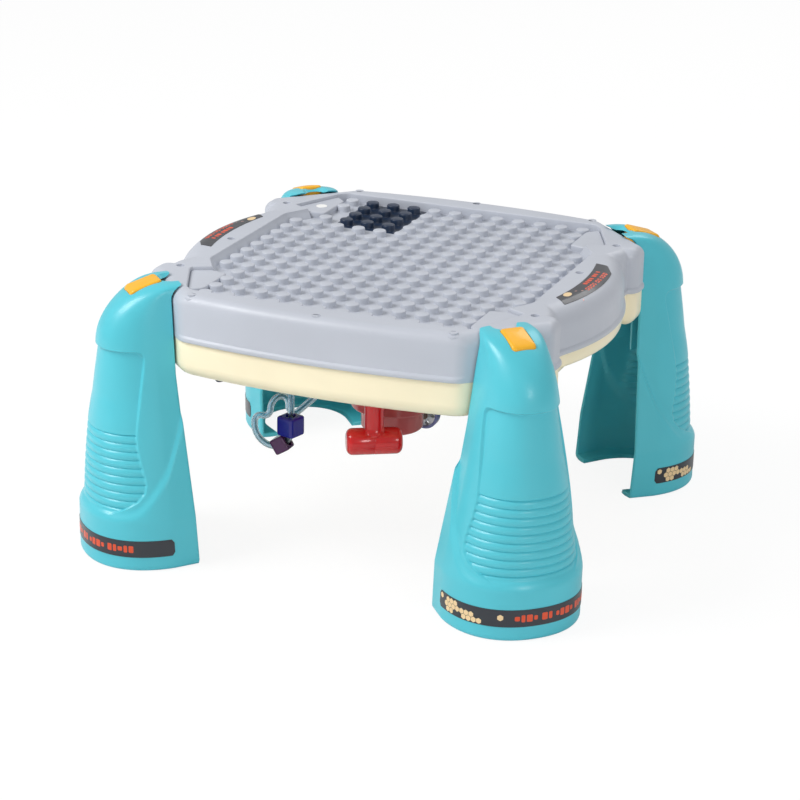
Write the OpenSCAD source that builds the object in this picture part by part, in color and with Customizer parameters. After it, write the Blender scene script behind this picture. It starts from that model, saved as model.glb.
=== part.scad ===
// Musical activity table: a studded building top and a toy side underneath, on four clip-on legs.
// Origin: centre of the table on the floor. +Z up, front edge towards -Y. Millimetres.

/* [Table] */
// Height of the rim above the floor
table_h = 183.8; // [170:0.2:200]
// Height of the upper shell, from rim to parting line
upper_h = 31.1; // [28:0.1:36]
// Height of the lower shell, from parting line to underside
lower_h = 24.7; // [22:0.1:30]
// Half depth of the table at the middle of its front edge
half_depth = 149; // [146:0.5:156]
// How far the front edge bows out over its length
front_bow = 8.5; // [6:0.5:10]
// Half width at the middle of a side bulge
half_width = 149.5; // [147:0.5:154]
// Half width across the corner posts
post_x = 141; // [139:0.5:143]
// Half width in the notches between posts and bulges
notch_x = 134.5; // [132:0.5:136]
// Distance from the table's centre to each corner face
corner_d = 168; // [166:0.5:172]
// Wall thickness of both shells
wall_t = 2.4; // [1.8:0.1:3]
// Radius of the upper shell's top edge
top_round = 7; // [5:0.5:8]
// Radius of the upper shell's edge at the corner faces
corner_round = 9; // [7:0.5:10]
// Radius of the upper shell's edge along the side bulges
bulge_round = 15; // [9:0.5:17]
// Radius of the lower shell's bottom edge
under_round = 9.5; // [7:0.5:11]
// Height of the lower shell under the side bulges
bulge_h = 10; // [8:0.5:13]
// How far the lip at the parting line stands out
lip_out = 1.5; // [0.8:0.1:2.2]
// Height of that lip
lip_h = 3.6; // [2.5:0.1:5]

/* [Building field] */
// Distance between neighbouring studs
stud_pitch = 16; // [15:0.1:16.2]
// Diameter of a stud
stud_d = 9.3; // [8.5:0.1:9.8]
// Height of a stud
stud_h = 4.4; // [3.6:0.1:5]
// Depth of the stud tops below the rim
stud_sink = 2.3; // [1.5:0.1:3]
// Half width of the sunk field between its side walls
field_x = 114; // [113:0.5:115]
// Width of the rim in front of the field and behind it
rim_y = 21.5; // [20.5:0.5:22]
// Thickness of the floor under the studs
field_t = 3; // [2.6:0.1:3.6]
// Thickness of the dark stud insert's plate
insert_t = 1.6; // [1.2:0.1:1.8]

/* [Legs] */
// Wall thickness of a leg
leg_t = 2.4; // [2:0.1:2.8]
// Gap between a leg's edge and the table
leg_gap = 0.6; // [0.4:0.1:1]
// How far a leg's shaft stands out from the corner face at the knee
leg_reach = 55.6; // [52:0.4:60]
// How far the crown of a leg stands out from the corner face at the brow
brow_reach = 45.4; // [43:0.4:48]
// Half width of a leg above its foot
leg_half = 43.2; // [41:0.4:45]
// How far the skirt round the foot stands out from the shaft
skirt_t = 2.4; // [1.5:0.1:3]
// Depth of the hollow panel in the outer face
panel_sink = 2; // [1:0.1:2.2]
// Number of grip ribs in the panel
rib_count = 9; // [7:1:12]
// Height of the grip ribs
rib_h = 0.9; // [0.3:0.1:1.2]
// Width of the sole inside the foot
sole_w = 12; // [8:0.5:14]
// Thickness of the sole
sole_t = 2.8; // [2:0.1:4]

/* [Release buttons] */
// Width of a release button
button_w = 16; // [14:0.5:18]
// Length of a release button
button_l = 21.4; // [18:0.2:22]
// Height of the button above the leg
button_up = 1.2; // [1:0.1:3]

/* [Toy side] */
// Diameter of the twist handle's stem
stem_d = 12.6; // [12:0.2:16]
// Diameter of the twist handle's grip
grip_d = 17.4; // [15:0.2:19]
// Length of the twist handle's grip
grip_l = 36; // [34:1:44]
// Diameter of the rattle drum's cup
drum_d = 41.2; // [38:0.2:43]
// Diameter of the rattle drum's brim
brim_d = 54.8; // [50:0.2:56]
// Height of the rattle drum
drum_h = 37; // [30:0.5:39]
// Diameter of the spinner wheel
wheel_d = 19.4; // [16:0.2:21]
// Diameter of the bead track's tube
tube_d = 4.4; // [3.6:0.1:4.8]
// Width of the blue bead across its flats
blue_bead = 13.6; // [12:0.2:14]
// Width of the purple bead
purple_bead = 10.8; // [10:0.2:11.2]
// Pitch radius of a play gear
gear_r = 16.4; // [15:0.1:17]
// Thickness of a play gear
gear_t = 7; // [5:0.2:8]
// Width of a music key
key_w = 17; // [14:0.5:18]
// Length of a music key
key_l = 46; // [40:1:50]
// Height of a key below the underside
key_down = 6; // [4:0.5:8]

/* [Hidden] */
$fn = 48;

// ---- colours ----
grey = [0.74, 0.76, 0.80];
cream = [0.98, 0.94, 0.82];
cyan = [0.33, 0.77, 0.83];
amber = [0.99, 0.74, 0.16];
navy = [0.10, 0.16, 0.25];
dark = [0.18, 0.19, 0.22];
steel = [0.72, 0.73, 0.75];
red = [0.70, 0.08, 0.09];
pink = [0.80, 0.35, 0.36];
clear = [0.62, 0.72, 0.78];
blue = [0.11, 0.10, 0.50];
purple = [0.27, 0.10, 0.30];
white = [0.90, 0.92, 0.92];

// ---- heights ----
part_z = table_h - upper_h;            // parting line
under_z = part_z - lower_h;            // underside of the table
stud_z = table_h - stud_sink;          // tops of the studs
field_z = stud_z - stud_h;             // floor between the studs
inner_z = under_z + wall_t;            // inside face of the lower shell's plate
cut = 0.5;                             // how far a cutting solid runs past what it cuts
fit = 0.3;                             // clearance of loose fits
snug = 0.05;                           // clearance of close fits
arc_fn = 360;                          // smoothness of the long shallow arcs

// ---- plan of the table ----
bow_chord = 100;                       // half length over which the front edge bows
front_r = (bow_chord * bow_chord + front_bow * front_bow) / (2 * front_bow);
bulge_y = 66;                          // half length of a side bulge
bulge_sag = half_width - notch_x;
bulge_r = (bulge_y * bulge_y + bulge_sag * bulge_sag) / (2 * bulge_sag);
post_y = 76;                           // where a corner post starts
post_round = 9;                        // plan radius of a post's shoulder
plan_far = 160;                        // beyond every edge of the table

// Outline of the table, moved outwards by grow
module table_plan(grow = 0) {
  shoulder = min(post_round, post_x - notch_x + 3);
  intersection() {
    translate([0, front_r - half_depth]) circle(r = front_r + grow, $fn = arc_fn);
    translate([0, half_depth - front_r]) circle(r = front_r + grow, $fn = arc_fn);
    rotate(45) square(2 * (corner_d + min(grow, 0)), center = true);
    union() {
      square([2 * (notch_x + grow), 2 * plan_far], center = true);
      for (s = [0, 1]) mirror([s, 0]) {
        intersection() {
          translate([half_width - bulge_r, 0]) circle(r = bulge_r + grow, $fn = arc_fn);
          translate([0, -bulge_y - grow]) square([plan_far, 2 * (bulge_y + grow)]);
        }
        for (t = [0, 1]) mirror([0, t]) {
          translate([0, post_y + shoulder]) square([post_x + grow, plan_far - post_y]);
          translate([0, post_y - grow]) square([post_x - shoulder, plan_far - post_y]);
          translate([post_x - shoulder, post_y + shoulder]) circle(r = shoulder + grow);
        }
      }
    }
  }
}

// What a rounded edge of radius r takes off: drawn with the outer corner at [0, 0], the part below and inside
module edge_waste(r) {
  difference() {
    translate([-r, -r]) square(r + 3);
    translate([-r, -r]) circle(r = r);
    translate([-r - 1, -r - 1]) square([1, r + 5]);
  }
}

// Sweeps a profile along both side bulges, with its origin on their edge
bulge_span = asin(bulge_y / bulge_r);
module along_bulges(span, grow) {
  for (s = [0, 1]) mirror([s, 0, 0]) translate([half_width - bulge_r, 0, 0]) rotate([0, 0, -span])
    rotate_extrude(angle = 2 * span, $fn = arc_fn) translate([bulge_r + grow, 0]) children();
}

// Rounds the front, rear and corner edges of the plan at height 0, for a part that lies below it
module round_rim(r, r_corner, grow = 0) {
  front_span = asin((bow_chord + 6) / front_r);
  for (s = [0, 1]) mirror([0, s, 0])
    translate([0, front_r - half_depth, 0]) rotate([0, 0, -90 - front_span])
      rotate_extrude(angle = 2 * front_span, $fn = arc_fn) translate([front_r + grow, 0]) edge_waste(r);
  for (q = [0 : 3]) rotate([0, 0, 45 + 90 * q])
    translate([corner_d + grow, 27, 0]) rotate([90, 0, 0]) linear_extrude(54) edge_waste(r_corner);
}

// Rounds the sides between the bulges and the corners
module round_posts(r, grow = 0) {
  for (s = [0, 1]) mirror([s, 0, 0]) {
    for (t = [0, 1]) mirror([0, t, 0]) {
      translate([post_x + grow, post_y + post_round, 0]) rotate([90, 0, 180])
        linear_extrude(40) mirror([1, 0]) edge_waste(r);
      translate([notch_x + grow, bulge_y, 0]) rotate([90, 0, 180])
        linear_extrude(post_y - bulge_y + 1) mirror([1, 0]) edge_waste(r);
      translate([post_x - post_round, post_y + post_round, 0]) rotate([0, 0, -75])
        rotate_extrude(angle = 75) translate([post_round + grow, 0]) edge_waste(min(r, post_round - 0.6));
    }
  }
}

// ---- places of the shell screws ----
// beside the ends of the bowed front and rear edges: this far inside them
edge_in = 5.7;
edge_x = (corner_d - 8.2) * sqrt(2) - half_depth + 12.5;
edge_y = half_depth - edge_in - (front_r - sqrt(front_r * front_r - edge_x * edge_x));
post_at = post_x - 17;                 // behind the corner posts
edge_spots = [for (sx = [-1, 1], sy = [-1, 1]) [sx * edge_x, sy * edge_y], [0, 7 - half_depth], [0, half_depth - 7]];
plate_spots = [for (sx = [-1, 1], sy = [-1, 1]) [sx * post_at, sy * ((corner_d - 20.9) * sqrt(2) - post_at)],
  [half_width - 28.7, 14], [28.7 - half_width, -14]];
screw_spots = concat(edge_spots, plate_spots);
screw_r = 1.5;                         // thread of the shell screws
screw_head_r = 2.6;
screw_head_h = 2.2;
screw_sink = 9;                        // how deep the screw heads sit below the rim
boss_r = 4.6;

// ---- sunk field with its corner pockets ----
field_y = half_depth - rim_y;          // half depth of the field
tongue = [field_x - 10, 77];           // tip of the tongue between field and pocket
pocket_corner = [field_x + 2, 86];
corner_rim = 11;                       // from the field's corner to the corner face
field_corner = [(corner_d - corner_rim) * sqrt(2) - field_y + 5.5, field_y - 5.5];
pocket_x = field_corner[0] - 8;        // where the raised corner pockets start

module field_plan(grow = 0) {
  right = [[0, -field_y - grow], [field_corner[0] - 6, -field_y - grow],
    [field_corner[0] + grow, -field_corner[1] - grow], [pocket_corner[0] + grow, -pocket_corner[1]],
    [pocket_corner[0] + grow, -pocket_corner[1] + 3 + grow], [tongue[0] + grow, -tongue[1] + grow],
    [field_x + grow, -60 + grow / 2], [field_x + grow, 60 - grow / 2], [tongue[0] + grow, tongue[1] - grow],
    [pocket_corner[0] + grow, pocket_corner[1] - 3 - grow], [pocket_corner[0] + grow, pocket_corner[1]],
    [field_corner[0] + grow, field_corner[1] + grow], [field_corner[0] - 6, field_y + grow],
    [0, field_y + grow]];
  for (s = [0, 1]) mirror([s, 0]) polygon(right);
}

// Sloping side of the field along the line from a to b, running past b by past
slope_w = 3.5;                         // width of the sloping sides at the floor
module field_slope(a, b, past) {
  v = b - a;
  top_h = table_h - field_z + 2 * cut;
  translate([a[0], a[1], field_z]) rotate([0, 0, atan2(v[1], v[0])]) translate([-2, 0, 0]) rotate([90, 0, 90])
    linear_extrude(norm(v) + 2 + past) polygon([[-3, -1], [slope_w, -1], [slope_w, 0], [-0.3, top_h], [-3, top_h]]);
}

// What is cut out of the tub: upright sides but for the two slopes, left and right
module field_room() difference() {
  translate([0, 0, field_z]) linear_extrude(table_h - field_z + cut) field_plan();
  for (sx = [0, 1]) mirror([sx, 0, 0]) {
    field_slope([field_x, -60], [field_x, 60], 2);
    for (sy = [0, 1]) mirror([0, sy, 0]) field_slope([field_x, 60], tongue, -0.6);
  }
}

// Stud grid: the last column or row, in pitches from the middle, that a half width or depth of the field has room for
function last_stud(room) = floor((room - stud_d / 2 - 2) / stud_pitch - 0.5) + 0.5;
last_col = last_stud(field_x);
last_row = last_stud(field_y);
insert_cols = [-4.5, -3.5, -2.5];      // columns of the dark insert
insert_rows = [last_row - 3, last_row - 2, last_row - 1, last_row];
no_stud = [-5.5, 5.5];                 // left out beside the round sticker
function in_insert(i, j) = i < -2 && i > -5 && j > insert_rows[0] - 1;
function stud_fits(i, j) = (abs(i) < last_col || abs(j) < 4) && [i, j] != no_stud && !in_insert(i, j);
stud_is = [for (i = [-last_col : last_col]) i];
stud_js = [for (j = [-last_row : last_row]) j];
insert_x0 = (insert_cols[0] - 0.5) * stud_pitch;
insert_x1 = (insert_cols[2] + 0.5) * stud_pitch;
insert_y0 = (insert_rows[0] - 0.5) * stud_pitch;
insert_y1 = (insert_rows[3] + 0.5) * stud_pitch - 1.2;

// ---- one corner's frame: X along the outward diagonal, Y across it ----
corner_names = ["rear_right", "rear_left", "front_left", "front_right"];
module at_corner(q) { rotate([0, 0, 45 + 90 * q]) children(); }

tongue_w = 24;                         // width of the table's corner tongues
tongue_l = 22;                         // how far a tongue stands out of its corner face
tongue_t = 2.2;                        // its wall
tongue_lo = under_z + 3;               // its lower face
tongue_hi = table_h - 15;              // its upper face
catch_w = 8.4;                         // width of the groove that the button's stem runs in
stem_at = corner_d + 14;               // where the button's stem passes through the tongue

// Half of a corner tongue, between heights z0 and z1, open where the halves meet
module corner_tongue(z0, z1, top) {
  difference() {
    translate([corner_d - 6, -tongue_w / 2, z0]) cube([tongue_l + 6, tongue_w, z1 - z0]);
    translate([corner_d - 6 - cut, -tongue_w / 2 + tongue_t, top ? z0 - cut : z0 + tongue_t])
      cube([tongue_l + 6 - tongue_t + cut, tongue_w - 2 * tongue_t, z1 - z0 - tongue_t + cut]);
    if (top) translate([stem_at - catch_w / 2, -catch_w / 2, z0 - cut])
      cube([tongue_l, catch_w, z1 - z0 + 2 * cut]);
  }
}

// ---- upper shell ----
rib_t = 1.6;

// Hollow of a shell: a wall thickness in from the plan, stepped in further beside its closed face
module hollow(z_open, z_step, z_face, inset) {
  step_in = 4;
  translate([0, 0, min(z_open, z_step)]) linear_extrude(abs(z_open - z_step)) table_plan(-wall_t - inset);
  translate([0, 0, min(z_open, z_face)]) linear_extrude(abs(z_open - z_face)) table_plan(-wall_t - inset - step_in);
}

// The upper shell's outside, rounded one kind of edge after another
module upper_block() difference() {
  difference() {
    difference() {
      union() {
        translate([0, 0, part_z]) linear_extrude(upper_h) table_plan();
        translate([0, 0, part_z]) linear_extrude(lip_h) table_plan(lip_out);
      }
      translate([0, 0, table_h]) round_rim(top_round, corner_round);
    }
    translate([0, 0, table_h]) round_posts(top_round);
  }
  translate([0, 0, table_h]) along_bulges(bulge_span, 0) edge_waste(bulge_round);
}

module top_shell() color(grey) {
  difference() {
    union() {
      difference() {
        upper_block();
        difference() {
          hollow(part_z - cut, table_h - wall_t - 4, table_h - wall_t, 0);
          // the wall follows the bulges' round edge, a little past their ends
          translate([0, 0, table_h - wall_t]) along_bulges(bulge_span + 2, -wall_t) edge_waste(bulge_round - wall_t);
        }
      }
      // tub of the sunk field, its bosses and ribs
      translate([0, 0, field_z - field_t]) linear_extrude(table_h - field_z + field_t) field_plan(wall_t);
      for (p = screw_spots) translate([p[0], p[1], part_z + 0.2])
        cylinder(r = boss_r, h = table_h - part_z - 2);
      for (x = [-3, 0, 3]) translate([x * stud_pitch - rib_t / 2, -half_depth + 8, part_z + 12])
        cube([rib_t, 2 * half_depth - 16, field_z - part_z - 13]);
      for (y = [-4, 0, 4]) translate([-notch_x + 3, y * stud_pitch - rib_t / 2, part_z + 12])
        cube([2 * notch_x - 6, rib_t, field_z - part_z - 13]);
      for (q = [0 : 3]) at_corner(q) corner_tongue(part_z + fit, tongue_hi, true);
    }
    field_room();
    // rebate for the dark insert
    translate([insert_x0, insert_y0, field_z - insert_t])
      cube([insert_x1 - insert_x0, insert_y1 - insert_y0, insert_t + cut]);
    for (p = screw_spots) translate([p[0], p[1], 0]) {
      translate([0, 0, part_z]) cylinder(r = screw_r + 0.2, h = upper_h);
      translate([0, 0, table_h - screw_sink]) cylinder(r = screw_head_r + 0.2, h = screw_sink + cut);
    }
  }
  for (i = stud_is, j = stud_js)
    if (stud_fits(i, j))
      translate([i * stud_pitch, j * stud_pitch, field_z - 1]) cylinder(d = stud_d, h = stud_h + 1, $fn = 32);
  pocket_floor = [[pocket_x, 80], [tongue[0] + 2, tongue[1]], [pocket_corner[0] + 1, pocket_corner[1] - 4],
    [pocket_corner[0] + 1, pocket_corner[1]], [field_corner[0] + 1, field_corner[1] + 0.4],
    [pocket_x, field_corner[1] - 8]];
  for (sx = [0, 1], sy = [0, 1]) mirror([sx, 0, 0]) mirror([0, sy, 0])
    translate([0, 0, field_z - 1]) linear_extrude(stud_h + 1) polygon(pocket_floor);
}

module stud_insert() color(navy) {
  side = fit / 2;
  translate([insert_x0 + side, insert_y0 + side, field_z - insert_t])
    cube([insert_x1 - insert_x0 - 2 * side, insert_y1 - insert_y0 - 2 * side, insert_t]);
  for (i = insert_cols, j = insert_rows)
    translate([i * stud_pitch, j * stud_pitch, field_z - 0.5]) cylinder(d = stud_d, h = stud_h + 0.5, $fn = 32);
}

// ---- toy side: places ----
handle_at = [29.3, -116];
handle_turn = 30;                      // plan angle of the grip at rest
grip_z = under_z - 32.5;               // centre of the grip
drum_at = [23, -70];
wheel_at = [36, -43.2];
wheel_z = under_z - 37.6;
wheel_t = 6;
gear_1 = [-80.8, -99.5];
gear_2 = gear_1 + 2 * gear_r * [cos(74), sin(74)];
gear_3 = gear_2 + 2 * gear_r * [cos(161), sin(161)];
gear_spots = [gear_1, gear_2, gear_3];
gear_gap = 2;                          // between a gear and the underside
gear_pin_r = 3.6;
hole_fit = 0.35;                       // radial clearance of a turning stem in its hole
stem_r = stem_d / 2;
drum_pin_r = 4;
key_count = 5;
key_pitch = key_w + 3;
key_x0 = -2 * key_pitch;               // first key's centre
key_y = 30;                            // free end of the keys
key_pivot_r = 1.5;
key_pivot = [key_y + key_l - 3, inner_z + 4];
pivot_fit = 0.3;                       // clearance of the pivot pins
speaker_at = [86, 40];
speaker_r = 24;
board_at = [0, 56];
board_size = [124, 68];
board_z = inner_z + 10.5;
board_in = 4;                          // from the board's edges to its screws
board_spots = [for (sx = [-1, 1], sy = [-1, 1])
  board_at + [sx * (board_size[0] / 2 - board_in), sy * (board_size[1] / 2 - board_in)]];
pad_h = 2.6;                           // height of a key's rubber dome
key_hub_r = 2.2;
bar_z = key_pivot[1] + key_hub_r + pivot_fit;
key_bar_l = key_count * key_pitch + 12;
battery_at = [-12, -8];
battery_size = [66, 50, 19];
door_t = 2;
switch_at = [62, -22];
switch_slot = [12, 5];
knob_travel = 5;

// ---- lower shell ----
pad_fit = 0.9;                         // gap round a key in its opening
lower_inset = 0.4;                     // the lower shell's wall stands in behind the upper one
shelf_z = part_z - bulge_h;            // underside of the lower shell below the side bulges
shelf_round = 3.4;
shelf_y = bulge_y + 4;                 // half length of that shallow part
deep_x = notch_x - 6.5;                // where the deep part ends beside it

// Room under the side bulges, up to height top, moved inwards by grow
module under_bulge(grow, top) {
  for (s = [0, 1]) mirror([s, 0, 0]) translate([deep_x - grow, -shelf_y - grow, under_z - 3])
    cube([60, 2 * (shelf_y + grow), top - under_z + 3]);
}

module key_place(k) { translate([key_x0 + k * key_pitch, 0, 0]) children(); }

module bottom_shell() color(cream) {
  difference() {
    union() {
      difference() {
        translate([0, 0, under_z]) linear_extrude(lower_h) table_plan(-lower_inset);
        difference() {
          hollow(part_z + cut, inner_z + 4, inner_z, lower_inset);
          under_bulge(wall_t, shelf_z + wall_t);
          under_bulge(wall_t + 4, inner_z + 4);
        }
        under_bulge(0, shelf_z);
        for (s = [0, 1]) mirror([s, 0, 0]) translate([deep_x, -shelf_y, under_z]) mirror([0, 0, 1]) rotate([90, 0, 180])
          linear_extrude(2 * shelf_y) mirror([1, 0]) edge_waste(under_round);
        translate([0, 0, shelf_z]) mirror([0, 0, 1]) along_bulges(bulge_span, -lower_inset) edge_waste(shelf_round);
        translate([0, 0, under_z]) mirror([0, 0, 1]) round_rim(under_round, under_round, -lower_inset);
        translate([0, 0, under_z]) mirror([0, 0, 1]) round_posts(under_round, -lower_inset);
      }
      // bosses of the shell screws, in the wall over its rounded edge and on the plate
      for (p = edge_spots) translate([p[0], p[1], under_z + under_round - 2])
        cylinder(r = boss_r, h = lower_h - under_round + 1.9);
      for (p = plate_spots)
        let (low = abs(p[1]) < shelf_y && abs(p[0]) + boss_r > deep_x ? shelf_z : inner_z)
          translate([p[0], p[1], low - 1]) cylinder(r = boss_r, h = part_z - low + 0.9);
      for (q = [0 : 3]) at_corner(q) corner_tongue(tongue_lo, part_z - fit, false);
      // collars round the turning stems
      for (c = [[handle_at, stem_r], [drum_at, drum_pin_r]]) translate([c[0][0], c[0][1], under_z - 1.5])
        cylinder(r = c[1] + 4, h = wall_t + 1.5);
      // posts of the play gears
      for (g = gear_spots) translate([g[0], g[1], under_z - gear_gap]) {
        cylinder(r = gear_pin_r + 2.5, h = gear_gap + wall_t);
        translate([0, 0, -gear_t - 0.2]) cylinder(r = gear_pin_r, h = gear_t + 1);
      }
      // sockets of the bead track
      for (e = track_ends) translate([e[0], e[1], under_z - 3]) cylinder(r = tube_d / 2 + 2.2, h = 12);
      // cradles of the key pivots
      translate([key_x0 - key_pitch / 2, key_pivot[0] - 3, inner_z - 1]) difference() {
        cube([key_count * key_pitch, 6, bar_z - inner_z + 1]);
        for (k = [0 : key_count - 1]) translate([k * key_pitch + 2.5, -1, -1]) cube([key_pitch - 5, 8, 12]);
      }
      for (s = [-1, 1]) translate([s * (key_bar_l / 2 - 3), key_pivot[0], inner_z - 1])
        cylinder(r = 3.6, h = bar_z - inner_z + 1);
      // pillars of the circuit board
      for (b = board_spots) translate([b[0], b[1], inner_z - 1]) cylinder(r = 3, h = board_z - inner_z + 1);
      // seat of the speaker
      translate([speaker_at[0], speaker_at[1], inner_z - 1]) difference() {
        cylinder(r = speaker_r + 2.4, h = 5);
        translate([0, 0, -1]) cylinder(r = speaker_r + fit, h = 8);
      }
      // lugs that carry the battery box
      for (s = [-1, 1]) translate([battery_at[0] + s * (battery_size[0] / 2 + 3) - 2, battery_at[1] - 5, inner_z - 1])
        cube([4, 10, 5]);
    }
    for (p = screw_spots) translate([p[0], p[1], part_z - 14]) cylinder(r = screw_r + snug, h = 15);
    translate([handle_at[0], handle_at[1], under_z - 3]) cylinder(r = stem_r + hole_fit, h = 8);
    translate([drum_at[0], drum_at[1], under_z - 3]) cylinder(r = drum_pin_r + hole_fit, h = 8);
    for (g = gear_spots) translate([g[0], g[1], under_z - gear_gap - gear_t - 1]) cylinder(r = 1.3, h = 9);
    for (e = track_ends) translate([e[0], e[1], under_z - 4]) cylinder(r = tube_d / 2 + snug, h = 12);
    // openings of the keys
    for (k = [0 : key_count - 1]) key_place(k)
      translate([-key_w / 2 - pad_fit, key_y - pad_fit, under_z - cut])
        cube([key_w + 2 * pad_fit, key_l + 2 * pad_fit, wall_t + 2 * cut]);
    // pivot grooves
    translate([key_x0 - key_pitch, key_pivot[0], key_pivot[1]]) rotate([0, 90, 0])
      cylinder(r = key_pivot_r + pivot_fit, h = (key_count + 1) * key_pitch);
    translate([key_x0 - key_pitch, key_pivot[0] - key_pivot_r - pivot_fit, key_pivot[1]])
      cube([(key_count + 1) * key_pitch, 2 * (key_pivot_r + pivot_fit), 8]);
    // speaker grille: rings of round holes
    for (r = [0 : 4], a = [0 : max(1, 6 * r) - 1]) rotate_about(speaker_at, a * 60 / max(1, r))
      translate([speaker_at[0] + r * 4.6, speaker_at[1], under_z - cut])
        cylinder(r = 1.2, h = wall_t + 2 * cut, $fn = 16);
    // battery opening with a step for its door
    translate([battery_at[0] - battery_size[0] / 2 + 2, battery_at[1] - battery_size[1] / 2 + 2, under_z - cut])
      cube([battery_size[0] - 4, battery_size[1] - 4, 6]);
    translate([battery_at[0] - battery_size[0] / 2 - 1, battery_at[1] - battery_size[1] / 2 - 1, under_z - cut])
      cube([battery_size[0] + 2, battery_size[1] + 2, door_t - 0.7 + cut]);
    translate([switch_at[0] - switch_slot[0] / 2, switch_at[1] - switch_slot[1] / 2, under_z - cut])
      cube([switch_slot[0], switch_slot[1], 6]);
    for (b = board_spots) translate([b[0], b[1], board_z - 6]) cylinder(r = 1.05, h = 8);
    for (s = [-1, 1]) translate([s * (key_bar_l / 2 - 3), key_pivot[0], bar_z - 4]) cylinder(r = 1.05, h = 6);
  }
}

module rotate_about(c, a) { translate([c[0], c[1], 0]) rotate([0, 0, a]) translate([-c[0], -c[1], 0]) children(); }

module shell_screws() color(steel)
  for (p = screw_spots) translate([p[0], p[1], 0]) difference() {
    union() {
      translate([0, 0, table_h - screw_sink]) cylinder(r = screw_head_r, h = screw_head_h);
      translate([0, 0, part_z - 12]) cylinder(r = screw_r, h = table_h - screw_sink - part_z + 12.5);
    }
    for (a = [0, 90]) translate([0, 0, table_h - screw_sink + screw_head_h]) rotate([0, 0, a])
      cube([3.4, 0.8, 2], center = true);
  }

label_in_r = 196;                      // plan radius of the side labels' inner edge
label_in_x = 128.6;
label_t = 0.25;
label_edge = 8;                        // from the labels' outer edge to the bulge's edge

// The labels follow the bulges' round edge
module side_labels() color(dark) intersection() {
  translate([0, 0, table_h]) along_bulges(bulge_span, 0) {
    translate([-bulge_round - 20, 0]) square([20, label_t]);
    intersection() {
      translate([-bulge_round, -bulge_round]) square(bulge_round + label_t);
      translate([-bulge_round, -bulge_round]) difference() {
        circle(r = bulge_round + label_t);
        circle(r = bulge_round);
      }
    }
  }
  for (s = [0, 1]) rotate([0, 0, 180 * s]) translate([0, 0, table_h - 10]) linear_extrude(12) difference() {
    intersection() {
      table_plan(-label_edge);
      polygon([[122, -42], [137.6, -56], [150, -42], [150, 11], [138, 27], [133, 36], [122, 38]]);
    }
    translate([label_in_x - label_in_r, -2]) circle(r = label_in_r, $fn = arc_fn);
  }
}

module pocket_sticker() color(white)
  translate([-101, 94, stud_z]) cylinder(r = 4, h = 0.25);

// ---- legs ----
cap_z = table_h + 2;                   // top of a leg's crown
brow_z = table_h - 37.5;               // the brow over the panel
knee_z = 40;                           // where the shaft starts to lean in
crown_gap = 0.5;                       // extra gap where a crown curls over the rounded corner
edge_top = corner_d + leg_gap;         // a leg's edge beside the table
edge_splay = 9.3;                      // how far that edge runs in under the table, at the floor
round_z = table_h - corner_round;      // centre of the corner's rounded edge
crease_lo = 36;                        // the skirt's edge on the outer face
crease_hi = 99.5;                      // the skirt's edge at the leg's free edges
crease_fall = 145;                     // how steeply it falls away from there
crease_bend = 6;                       // softness of the bend between the two
panel_lo = 37;
rib_lo = 41.5;
rib_hi = 90.5;
label_lo = 10;                         // foot label, lower and upper edge
label_hi = 21.5;
side_part = 0.28;                      // share of a leg's depth that is straight side
square_n = 2.2;                        // squareness of a leg's plan

// Distance of the free edge from the table's centre
function edge_d(h) =
  h > round_z ? let (r = corner_round + leg_gap + crown_gap * min(1, (h - round_z) / 4))
    corner_d - corner_round + sqrt(max(1, pow(r, 2) - pow(h - round_z, 2)))
  : h > under_z ? edge_top
  : edge_top - edge_splay * (1 - h / under_z);
function rise(h) = max(0, min(0.9985, (h - brow_z) / (cap_z - brow_z)));
// Distance of the outer face, on the diagonal
function tip_d(h) =
  h < knee_z ? corner_d + leg_reach
  : h < brow_z ? corner_d + leg_reach - (leg_reach - brow_reach) * pow((h - knee_z) / (brow_z - knee_z), 1.6)
  : edge_top + 1.4 + (brow_reach - leg_gap - 1.4) * pow(1 - pow(rise(h), 1.9), 1 / 1.9);
// Half width of the leg
function half_w(h) =
  min(leg_half, leg_half - 1.9 - 0.163 * (h - 46)) * (h > brow_z ? pow(1 - pow(rise(h), 30), 0.22) : 1);
function edge_w(h) = half_w(h) - 2 * max(0, min(1, (165 - h) / 60));
function ease(x) = x <= 0 ? 0 : x >= 1 ? 1 : x * x * (3 - 2 * x);
function crease_z(s) = let (side_z = crease_hi - crease_fall * (1 - abs(s)), gap = (side_z - crease_lo) / 2)
  (side_z + crease_lo) / 2 + sqrt(gap * gap + crease_bend * crease_bend);
function skirt(s, h) =
  skirt_t * ease((crease_z(s) - h) / 9 + 0.5) * (h < 3 ? sqrt(max(0, 1 - pow(1 - h / 3, 2))) : 1);
// Half width of the panel, as a share of the way round from the diagonal to the free edge
function panel_s(h) =
  lookup(h, [[panel_lo, 0.30], [42, 0.45], [47, 0.55], [53, 0.61], [60, 0.62], [75, 0.58], [88, 0.56], [105, 0.585],
    [133, 0.64], [brow_z - 8, 0.62], [brow_z - 4.5, 0.53], [brow_z - 2, 0.38]]);
function in_panel(s, h) = ease((panel_s(h) - abs(s)) / 0.04) * ease((h - panel_lo) / 3) * ease((brow_z - 1 - h) / 2.5);
function rib(h) =
  h < rib_lo || h > rib_hi ? 0 : rib_h * abs(sin(180 * rib_count * (h - rib_lo) / (rib_hi - rib_lo)));
function swell(s, h, ribbed) = skirt(s, h) - in_panel(s, h) * (panel_sink - (ribbed ? rib(h) : 0));
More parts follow.
